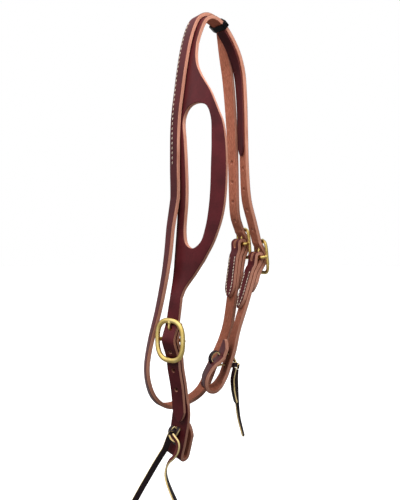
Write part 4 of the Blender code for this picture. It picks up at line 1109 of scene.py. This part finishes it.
def keeper_outline(by):
    """The outline round both straps where the keeper crosses them, moved outwards."""
    back, rise = parting_shares[2][1:]
    above = rise * (leather + crown_gap) + leather / 2
    slid = -back * strap_width
    corners = [
        Vector((half, -leather / 2)),
        Vector((half, leather / 2)),
        Vector((half + slid, above)),
        Vector((slid - half, above)),
        Vector((slid - half, above - leather)),
        Vector((-half, -leather / 2)),
    ]
    moved = []
    for place, here in enumerate(corners):
        before = (here - corners[place - 1]).normalized()
        after = (corners[(place + 1) % len(corners)] - here).normalized()
        way = Vector((before.y + after.y, -before.x - after.x))
        moved.append(here + by * way / (1 + before.dot(after)))
    return moved


def keeper_block(by, depth):
    """A block as wide as the band, with its corners along the straps rounded."""
    block = cut_flat(keeper_outline(by), depth)
    select_only(block)
    bpy.ops.object.mode_set(mode="EDIT")
    bpy.ops.mesh.select_all(action="DESELECT")
    bpy.ops.object.mode_set(mode="OBJECT")
    for edge in block.data.edges:
        ends = [block.data.vertices[index].co for index in edge.vertices]
        edge.select = abs(ends[0].z - ends[1].z) > depth / 2
    bpy.ops.object.mode_set(mode="EDIT")
    bpy.ops.mesh.bevel(offset=keeper_round, segments=4)
    bpy.ops.object.mode_set(mode="OBJECT")
    return block


keeper = keeper_block(keeper_room + keeper_leather, keeper_width)
cut_out(keeper, [keeper_block(keeper_room, keeper_width * 2)])
soften(keeper, keeper_edge_round, 2, 60)
across, out, along = points_of(keeper).T
move_points(keeper, cheek_route.place(keeper_along - along, across, out))
keep_flat(keeper, np.stack([across, along, np.full(across.shape, keeper_leather / 2)], axis=-1))
keeper_black = ((0.0030, 0.0026, 0.0032), (0.0060, 0.0050, 0.0058), (0.0020, 0.0016, 0.0020))
keeper_finish = leather_finish(
    "keeper_leather", keeper_leather, keeper_black, latigo_cut, latigo_back, (0.22, 0.34), 0.10
)
dress(keeper, "crown_keeper_band", keeper_finish, "headstall", ["crown_keeper"])

# Near buckle
# A heavy cast brass frame, oval and set upright, with a centre bar set back behind it and a
# short fixed tongue on its top rail. It holds the cheek strap and the bit strap together.
rail_flatten = 0.82
tongue_pin = 0.0028
melt = 0.0004
fine_melt = 0.0003


def ring(buckle):
    """A buckle's frame: a torus drawn out to a rounded oval and flattened."""
    bpy.ops.object.select_all(action="DESELECT")
    bpy.ops.mesh.primitive_torus_add(
        major_segments=112, minor_segments=20, major_radius=buckle.width / 2, minor_radius=buckle.rail / 2
    )
    frame_piece = bpy.context.object
    turn = np.linspace(0.0, 2 * math.pi, 1441)
    half_width = (buckle.width - buckle.rail) / 2
    sides = []
    for swing, most in ((np.cos(turn), half_width), (np.sin(turn), buckle.half_height)):
        sides.append(np.copysign(np.abs(swing) ** (2 / buckle.power) * most, swing))
    oval = np.stack(sides, axis=-1)
    reach = np.concatenate([[0.0], np.cumsum(np.linalg.norm(np.diff(oval, axis=0), axis=1))])
    even = np.linspace(0.0, reach[-1], 361)
    oval = np.stack([np.interp(even, reach, oval[:, axis]) for axis in range(2)], axis=-1)
    ahead = np.roll(oval[:-1], -2, axis=0) - np.roll(oval[:-1], 2, axis=0)
    ahead = np.vstack([ahead, ahead[:1]])
    ahead /= np.linalg.norm(ahead, axis=1)[:, None]
    x, y, z = points_of(frame_piece).T
    place = np.mod(np.arctan2(y, x), 2 * math.pi) / (2 * math.pi) * reach[-1]
    outwards = np.hypot(x, y) - buckle.width / 2
    centre = [np.interp(place, even, oval[:, axis]) for axis in range(2)]
    way = [np.interp(place, even, ahead[:, axis]) for axis in range(2)]
    shaped = [centre[0] + outwards * way[1], centre[1] - outwards * way[0], z * rail_flatten]
    move_points(frame_piece, np.stack(shaped, axis=-1))
    frame_piece.data.transform(buckle.matrix())
    return frame_piece


def rod(points, front, radius, soft_end=True):
    """A round rod along a path."""
    line = Route([(*point, *front) for point in points])
    bpy.ops.object.select_all(action="DESELECT")
    bpy.ops.mesh.primitive_cylinder_add(
        vertices=16, radius=radius, depth=line.length,
        location=(0.0, line.length / 2, 0.0), rotation=(math.pi / 2, 0.0, 0.0),
    )
    piece = bpy.context.object
    bpy.ops.object.transform_apply(location=True, rotation=True, scale=True)
    if soft_end:
        soften(piece, radius * 0.6, 4, 60)
    crease(piece, crease_places(line, 0.15, 0.004))
    lay(piece, line)
    return piece


def centre_bar(buckle):
    """The bar, bowed back from the frame so that leather passes in front of it."""
    end = (buckle.width - buckle.rail) / 2
    room = (strap_width + buckle.bar) / 2 + side_gap
    knee = (end + room) / 2 + buckle.bar / 8
    path = [(-end, 0.0), (-knee, 0.62), (-room, 1.0), (room, 1.0), (knee, 0.62), (end, 0.0)]
    points = [buckle.place(across, 0.0, -back * buckle.set_back) for across, back in path]
    return rod(points, buckle.up, buckle.bar / 2, soft_end=False)


def join(parts):
    """Makes one object of several."""
    bpy.ops.object.select_all(action="DESELECT")
    for part in parts:
        part.select_set(True)
    bpy.context.view_layer.objects.active = parts[0]
    bpy.ops.object.join()
    return bpy.context.object


def cast(parts, melt_size=melt):
    """Melts rods and rings together into one casting with soft inside corners."""
    casting = join(parts)
    apply_modifier(casting, "REMESH", mode="VOXEL", voxel_size=melt_size)
    apply_modifier(casting, "SMOOTH", factor=0.5, iterations=5)
    return casting


def brass_recipe():
    """Old cast brass: yellow, with browner and duller tarnish in random patches."""
    made = Recipe("cast_brass")
    room = made.add("TexCoord", {}).outputs["Object"]
    cloud = made.noise(room, 90.0, 4.0)
    grit = made.noise(room, 1500.0, 3.0)
    stains = made.noise(room, 230.0, 5.0, 0.65)
    yellows = ((0.32, (0.62, 0.44, 0.13)), (0.52, (0.76, 0.57, 0.19)), (0.72, (0.84, 0.67, 0.29)))
    colour = made.ramp(cloud, yellows)
    colour = made.blend(made.span(stains, 0.52, 0.74, 0.0, 0.5), colour, (0.30, 0.18, 0.06, 1.0))
    made.give(made.shader.inputs["Base Color"], colour)
    made.give(made.shader.inputs["Roughness"], made.span(stains, 0.35, 0.70, 0.22, 0.42))
    made.shader.inputs["Metallic"].default_value = 1.0
    made.bump(grit, 0.12, 0.0002)
    return made.material


brass = brass_recipe()
tongue_row = [
    near_buckle.place(0.0, near_buckle.half_height, 0.0),
    tongue_point + tongue_grain * (leather / 2 + tongue_pin / 2),
    tongue_point,
    tongue_point - tongue_grain * (leather * 1.5 + seat_gap + tongue_pin * 0.6),
]
near_tongue = rod(smooth_line(tongue_row, per_span=6), near_buckle.front, tongue_pin / 2)
root_row = [tongue_row[0], (tongue_row[0] + tongue_row[1]) / 2]
near_root = rod(smooth_line(root_row, per_span=4), near_buckle.front, tongue_pin * 0.85)
near_casting = cast([ring(near_buckle), centre_bar(near_buckle), near_tongue, near_root])
dress(
    near_casting, "near_buckle_casting", brass, "headstall",
    ["near_conway_buckle"], sharp=70.0,
)

# Far buckles
# Two smaller cast brass frames of the same pattern, each with its centre bar set back and a
# loose tongue that turns on the bar and lies out through the billet onto the top rail.
tongue_collar_width = 0.0042
tongue_collar_wall = 0.0014
tongue_overhang = 0.0022
pivot_gap = 0.00035


def far_tongue(buckle, route, along):
    """A tongue: a collar that turns on the bar, and a pin out through the billet's hole."""
    bore = buckle.bar / 2 + pivot_gap
    bar_seat = Matrix.Translation(Vector(buckle.bar_centre() - buckle.centre)) @ buckle.matrix()
    level = Matrix.Rotation(math.pi / 2, 4, "Y")
    collar = (bore + tongue_collar_wall, tongue_collar_width)
    shapes = []
    for radius, depth in (collar, (bore, tongue_collar_width * 3)):
        bpy.ops.object.select_all(action="DESELECT")
        bpy.ops.mesh.primitive_cylinder_add(vertices=48, radius=radius, depth=depth)
        shape = bpy.context.object
        shape.data.transform(bar_seat @ level)
        shapes.append(shape)
    crossing = route.place(along) - buckle.bar_centre()
    height, out = float(crossing.dot(buckle.up)), float(crossing.dot(buckle.out))
    rest = buckle.set_back + buckle.rail * rail_flatten / 2 + tongue_pin / 2 + pivot_gap
    path = [
        (0.0, 0.0),
        (height * 0.55, out * 0.62),
        (height, out),
        ((height + buckle.half_height) / 2, (out + rest) / 2 * 1.08),
        (buckle.half_height, rest),
        (buckle.half_height + tongue_overhang, rest - tongue_pin * 0.1),
    ]
    points = [buckle.bar_centre() + up * buckle.up + away * buckle.out for up, away in path]
    pin = rod(smooth_line(points, per_span=5), buckle.front, tongue_pin / 2)
    tongue = cast([shapes[0], pin], fine_melt)
    cut_out(tongue, [shapes[1]])
    return tongue


for name, buckle, route, along in (
    ("cheek", cheek_buckle, cheek_route, cheek_tongue_along),
    ("throat", throat_buckle, throat_route, throat_tongue_along),
):
    far_casting = cast([ring(buckle), centre_bar(buckle)])
    dress(
        far_casting, f"far_{name}_buckle_casting", brass, "headstall",
        [f"far_{name}_buckle"], sharp=70.0,
    )
    loose_tongue = far_tongue(buckle, route, along)
    dress(
        loose_tongue, f"far_{name}_buckle_tongue", brass, f"{name}_tongue",
        [f"far_{name}_tongue"], sharp=50.0,
    )

# Lace ties
# Each bit end is closed by a length of the latigo lace, passed through two pairs of punched
# holes and drawn up in a knot outside. The lace is flat, so its pale cut edge shows all along.
near_strand_width = 0.0044
near_ring_width = 0.0060
near_band_width = near_strand_width * 0.8
far_strand_width = 0.0042
far_knot_width = far_strand_width * 1.25
# The long end's lead is a little smaller than the free end, because it ends inside it.
near_lead_width = near_tail_width * 0.99
near_lead_thickness = near_tail_thickness * 0.96
# How far the near strands stand out of the outer leg, lie off their depth behind the inner
# leg, and turn towards each other there
near_strand_proud = 0.0014
near_strand_lift = 0.0006
near_strand_turn = 0.0016
# How far out of the middle of each leg's leather the far strands pass, hole by hole
far_inner_steps = (-0.0010, -0.0034)
far_outer_steps = (-0.0034, 0.0030)
far_knot_approach = 0.0050
# Rows of a place beside the outer near holes, across, up and out of the strap in mm, and the
# way to the lace's front edge in the same three directions.
near_knot_ring = (
    (8.6, -6.4, 1.3, 0.2, 1.0, 0.5),
    (6.4, -7.6, 3.0, 0.1, 0.9, 0.6),
    (2.1, -6.6, 4.5, 0.4, 0.7, 0.6),
    (-2.2, -3.8, 5.0, 0.75, 0.35, 0.6),
    (-4.2, 0.4, 4.8, 0.8, -0.1, 0.6),
    (-3.3, 4.6, 4.3, 0.5, -0.6, 0.6),
    (0.0, 6.6, 3.4, 0.1, -0.8, 0.6),
    (2.6, 5.8, 1.2, -0.2, -0.8, 0.6),
    (3.6, 4.8, -1.6, -0.2, -0.8, 0.6),
)
near_knot_band = (
    (3.8, 9.6, -1.0, -1.0, -0.3, 0.0),
    (5.4, 8.4, 1.2, -1.0, 0.1, -0.15),
    (5.6, 6.2, 2.5, -0.9, 0.3, -0.35),
    (4.2, 1.9, 3.0, -0.85, 0.4, -0.4),
    (2.0, -3.3, 2.9, -0.85, 0.4, -0.4),
    (-0.4, -8.2, 2.4, -0.85, 0.4, -0.35),
)
# The same beside the inner far holes: the bight that stands proud of the loop's inner leg
far_bight = (
    (0.0, 6.5, -4.6, -1.0, 0.0, 0.0),
    (0.0, 7.6, 1.2, -0.85, 0.5, 0.0),
    (0.0, 6.1, 5.4, -0.8, 0.5, 0.3),
    (0.0, 1.6, 7.2, -0.8, 0.0, 0.6),
    (0.0, -3.3, 6.4, -0.8, -0.3, 0.5),
    (0.0, -6.8, 4.1, -0.8, -0.5, 0.3),
    (0.0, -7.6, 1.2, -0.85, -0.5, 0.0),
    (0.0, -6.5, -4.6, -1.0, 0.0, 0.0),
)
far_knot_centre = np.array([0.0189, 0.0280, -0.3915])
far_knot_radius = 0.0033
far_knot_rise = 0.00035
far_knot_lean = 0.12
# The long end's way down from under the knot's ring to where it hangs free
near_lead = (
    (-0.0042, -0.0430, -0.4540, 225),
    (-0.0072, -0.0444, -0.4572, 225),
    (-0.0100, -0.0461, -0.4612, 225),
    (-0.0122, -0.0469, -0.4657, 225),
    (-0.0132, -0.0470, -0.4679, 225),
)


def strand(rows, width, thickness):
    """A stretch of flat lace along rows of a point and the way to its front edge."""
    line = Route(smooth_line(rows, per_span=6))
    side = width / 2
    lace = cut_flat([(side, 0.0), (side, line.length), (-side, line.length), (-side, 0.0)], thickness)
    soften(lace, lace_round, 2, 40)
    crease(lace, crease_places(line, 0.10, 0.003))
    lay(lace, line)
    return lace


def beside(strap, along, across, rows):
    """World rows from rows beside a hole of a strap."""
    ways = strap.frame(along)
    start = strap.place(along, across, leather / 2)
    found = []
    for row in rows:
        place = start + sum(0.001 * row[axis] * ways[axis] for axis in range(3))
        found.append([*place, *sum(row[3 + axis] * ways[axis] for axis in range(3))])
    return found


near_ways = near_bit_route.frame(near_tie_outer)
depth = leather * 1.5 + near_loop_gap + near_tail_thickness / 2 + seat_gap
middle = near_bit_route.place(near_tie_outer, near_tie_across) - near_ways[2] * depth
through = []
for sign in (1, -1):
    hole = near_bit_route.place(near_tie_outer + sign * near_lace_spacing / 2, near_tie_across)
    outer_end = hole + near_ways[2] * (leather / 2 + near_strand_proud)
    inner_end = hole - near_ways[2] * (depth - near_strand_lift)
    turn_in = hole - near_ways[2] * depth - sign * near_ways[1] * near_strand_turn
    line = [[*point, *near_ways[0]] for point in (outer_end, hole, inner_end, turn_in, middle)]
    through.append(strand(line, near_strand_width, near_tail_thickness))
ring_rows = beside(near_bit_route, near_tie_outer, near_tie_across, near_knot_ring)
band_rows = beside(near_bit_route, near_tie_outer, near_tie_across, near_knot_band)
near_tie = join([
    strand(ring_rows, near_ring_width, near_tail_thickness),
    strand(band_rows, near_band_width, near_tail_thickness),
    strand(turned_rows(near_lead), near_lead_width, near_lead_thickness),
    *through,
])
dress(near_tie, "near_lace_tie", near_lace_finish, "headstall", ["near_tie_knot"])

inner_front, _, inner_grain = cheek_lower_route.frame(far_tie_inner)
outer_front, _, outer_grain = cheek_lower_route.frame(far_tie_outer)
crossings = []
for sign in (1, -1):
    shift = sign * far_lace_spacing / 2
    inner_hole = cheek_lower_route.place(far_tie_inner + shift, far_tie_across)
    outer_hole = cheek_lower_route.place(far_tie_outer - shift, far_tie_across)
    towards_knot = (outer_hole + outer_grain * far_knot_approach + far_knot_centre) * 0.5
    line = [[*(inner_hole + inner_grain * out), *inner_front] for out in far_inner_steps]
    line += [[*(outer_hole + outer_grain * out), *outer_front] for out in far_outer_steps]
    line += [[*towards_knot, *outer_front], [*far_knot_centre, *outer_front]]
    crossings.append(strand(line, far_strand_width, far_tail_thickness))
knot_turns = []
for step in range(10):
    angle = math.radians(-20 + 40 * step)
    away = np.array([math.cos(angle), math.sin(angle), 0.0])
    spot = far_knot_centre + away * far_knot_radius
    spot[2] += far_knot_rise * (step - 4.5)
    knot_turns.append([*spot, -far_knot_lean * away[0], -far_knot_lean * away[1], -1.0])
bight_rows = beside(cheek_lower_route, far_tie_inner, far_tie_across, far_bight)
far_tie = join([
    strand(bight_rows, far_strand_width, far_tail_thickness),
    strand(knot_turns, far_knot_width, far_tail_thickness),
    *crossings,
])
dress(far_tie, "far_lace_tie", far_lace_finish, "far_lower_cheek", ["far_tie_knot"])

# Stitches
# Heavy waxed cream thread. One row holds the throat strap to the cheek strap's rear half, and
# two rows close each far chape; every row shows on both faces of what it joins.
thread_width = 0.0011
stitch_length = 0.0034
stitch_slant = 0.18
edge_pitch = 0.0054
chape_pitch = 0.0040
chape_margin = 0.0024
chape_taper = 1.6 * tip_length
chape_row_start = 0.004
cheek_row_end = 0.047
throat_row_end = 0.049
# The near row's lengths along the throat strap, and its places across it
row_along = (0.6070, 0.6547, 0.6879, 0.7167, 0.7535, 0.7690)
row_across = (-0.0015, -0.0032, -0.0050, -0.0054, -0.0054, -0.0050)


def thread_finish():
    """Cream linen thread, twisted, waxed and a little soiled."""
    made = Recipe("waxed_thread")
    spot = made.add("TexCoord", {}).outputs["Object"]
    strands = made.stretched(spot, 700.0, 700.0, 900.0)
    waves = {"Vector": strands, "Scale": 1.0, "Distortion": 2.0}
    twist = made.add("TexWave", waves, bands_direction="DIAGONAL").outputs["Fac"]
    soil = made.noise(spot, 180.0, 3.0)
    creams = ((0.30, (0.58, 0.47, 0.33)), (0.60, (0.84, 0.75, 0.60)), (0.75, (0.90, 0.84, 0.72)))
    colour = made.ramp(soil, creams)
    made.give(made.shader.inputs["Base Color"], colour)
    made.give(made.shader.inputs["Roughness"], made.span(soil, 0.3, 0.7, 0.48, 0.66))
    made.bump(twist, 0.4, 0.0002)
    return made.material


thread = thread_finish()
bpy.ops.object.select_all(action="DESELECT")
bpy.ops.mesh.primitive_uv_sphere_add(segments=8, ring_count=6, radius=0.5)
bead = bpy.context.object
bead.scale = (thread_width, stitch_length, thread_width * 0.8)
bpy.ops.object.transform_apply(location=False, rotation=False, scale=True)


def sew(name, rows, body):
    """One piece of stitches: each is a copy of the bead, turned along its strap."""
    made = []
    for route, along, across, out in rows:
        front, ahead, grain = route.frame(along)
        slanted = ahead + stitch_slant * front
        axes = Matrix((np.cross(slanted, grain), slanted, grain)).transposed().to_4x4()
        stitch = bead.copy()
        stitch.data = bead.data.copy()
        stitch.data.transform(Matrix.Translation(Vector(route.place(along, across, out))) @ axes)
        scene.collection.objects.link(stitch)
        made.append(stitch)
    dress(join(made), name, thread, body, sharp=80.0)


edge_out = leather / 2
edge_in = -(leather * 1.5 + crown_gap)
places = np.arange(row_along[0], row_along[-1], edge_pitch)
for name, out in (("near_edge_stitches_outside", edge_out), ("near_edge_stitches_inside", edge_in)):
    across = np.interp(places, row_along, row_across)
    sew(name, [(throat_route, along, side, out) for along, side in zip(places, across)], "headstall")


def chape_rows(route, last):
    """Both rows of a chape, on its inner leg and on the strap outside it."""
    rows = []
    for along in np.arange(chape_row_start, last, chape_pitch):
        margin = half - chape_margin
        if along < chape_taper:
            margin *= math.sqrt(along / chape_taper)
        outer = route.nearest(route.place(along, 0.0, -layer), 0.12, 0.35)
        for side in (-margin, margin):
            rows.append((route, along, side, leather / 2))
            rows.append((route, outer, side, leather / 2))
    return rows


cheek_chape_rows = chape_rows(cheek_lower_route, cheek_row_end)
sew("far_cheek_chape_stitches", cheek_chape_rows, "far_lower_cheek")
sew("far_throat_chape_stitches", chape_rows(throat_route, throat_row_end), "headstall")
bpy.data.objects.remove(bead, do_unlink=True)
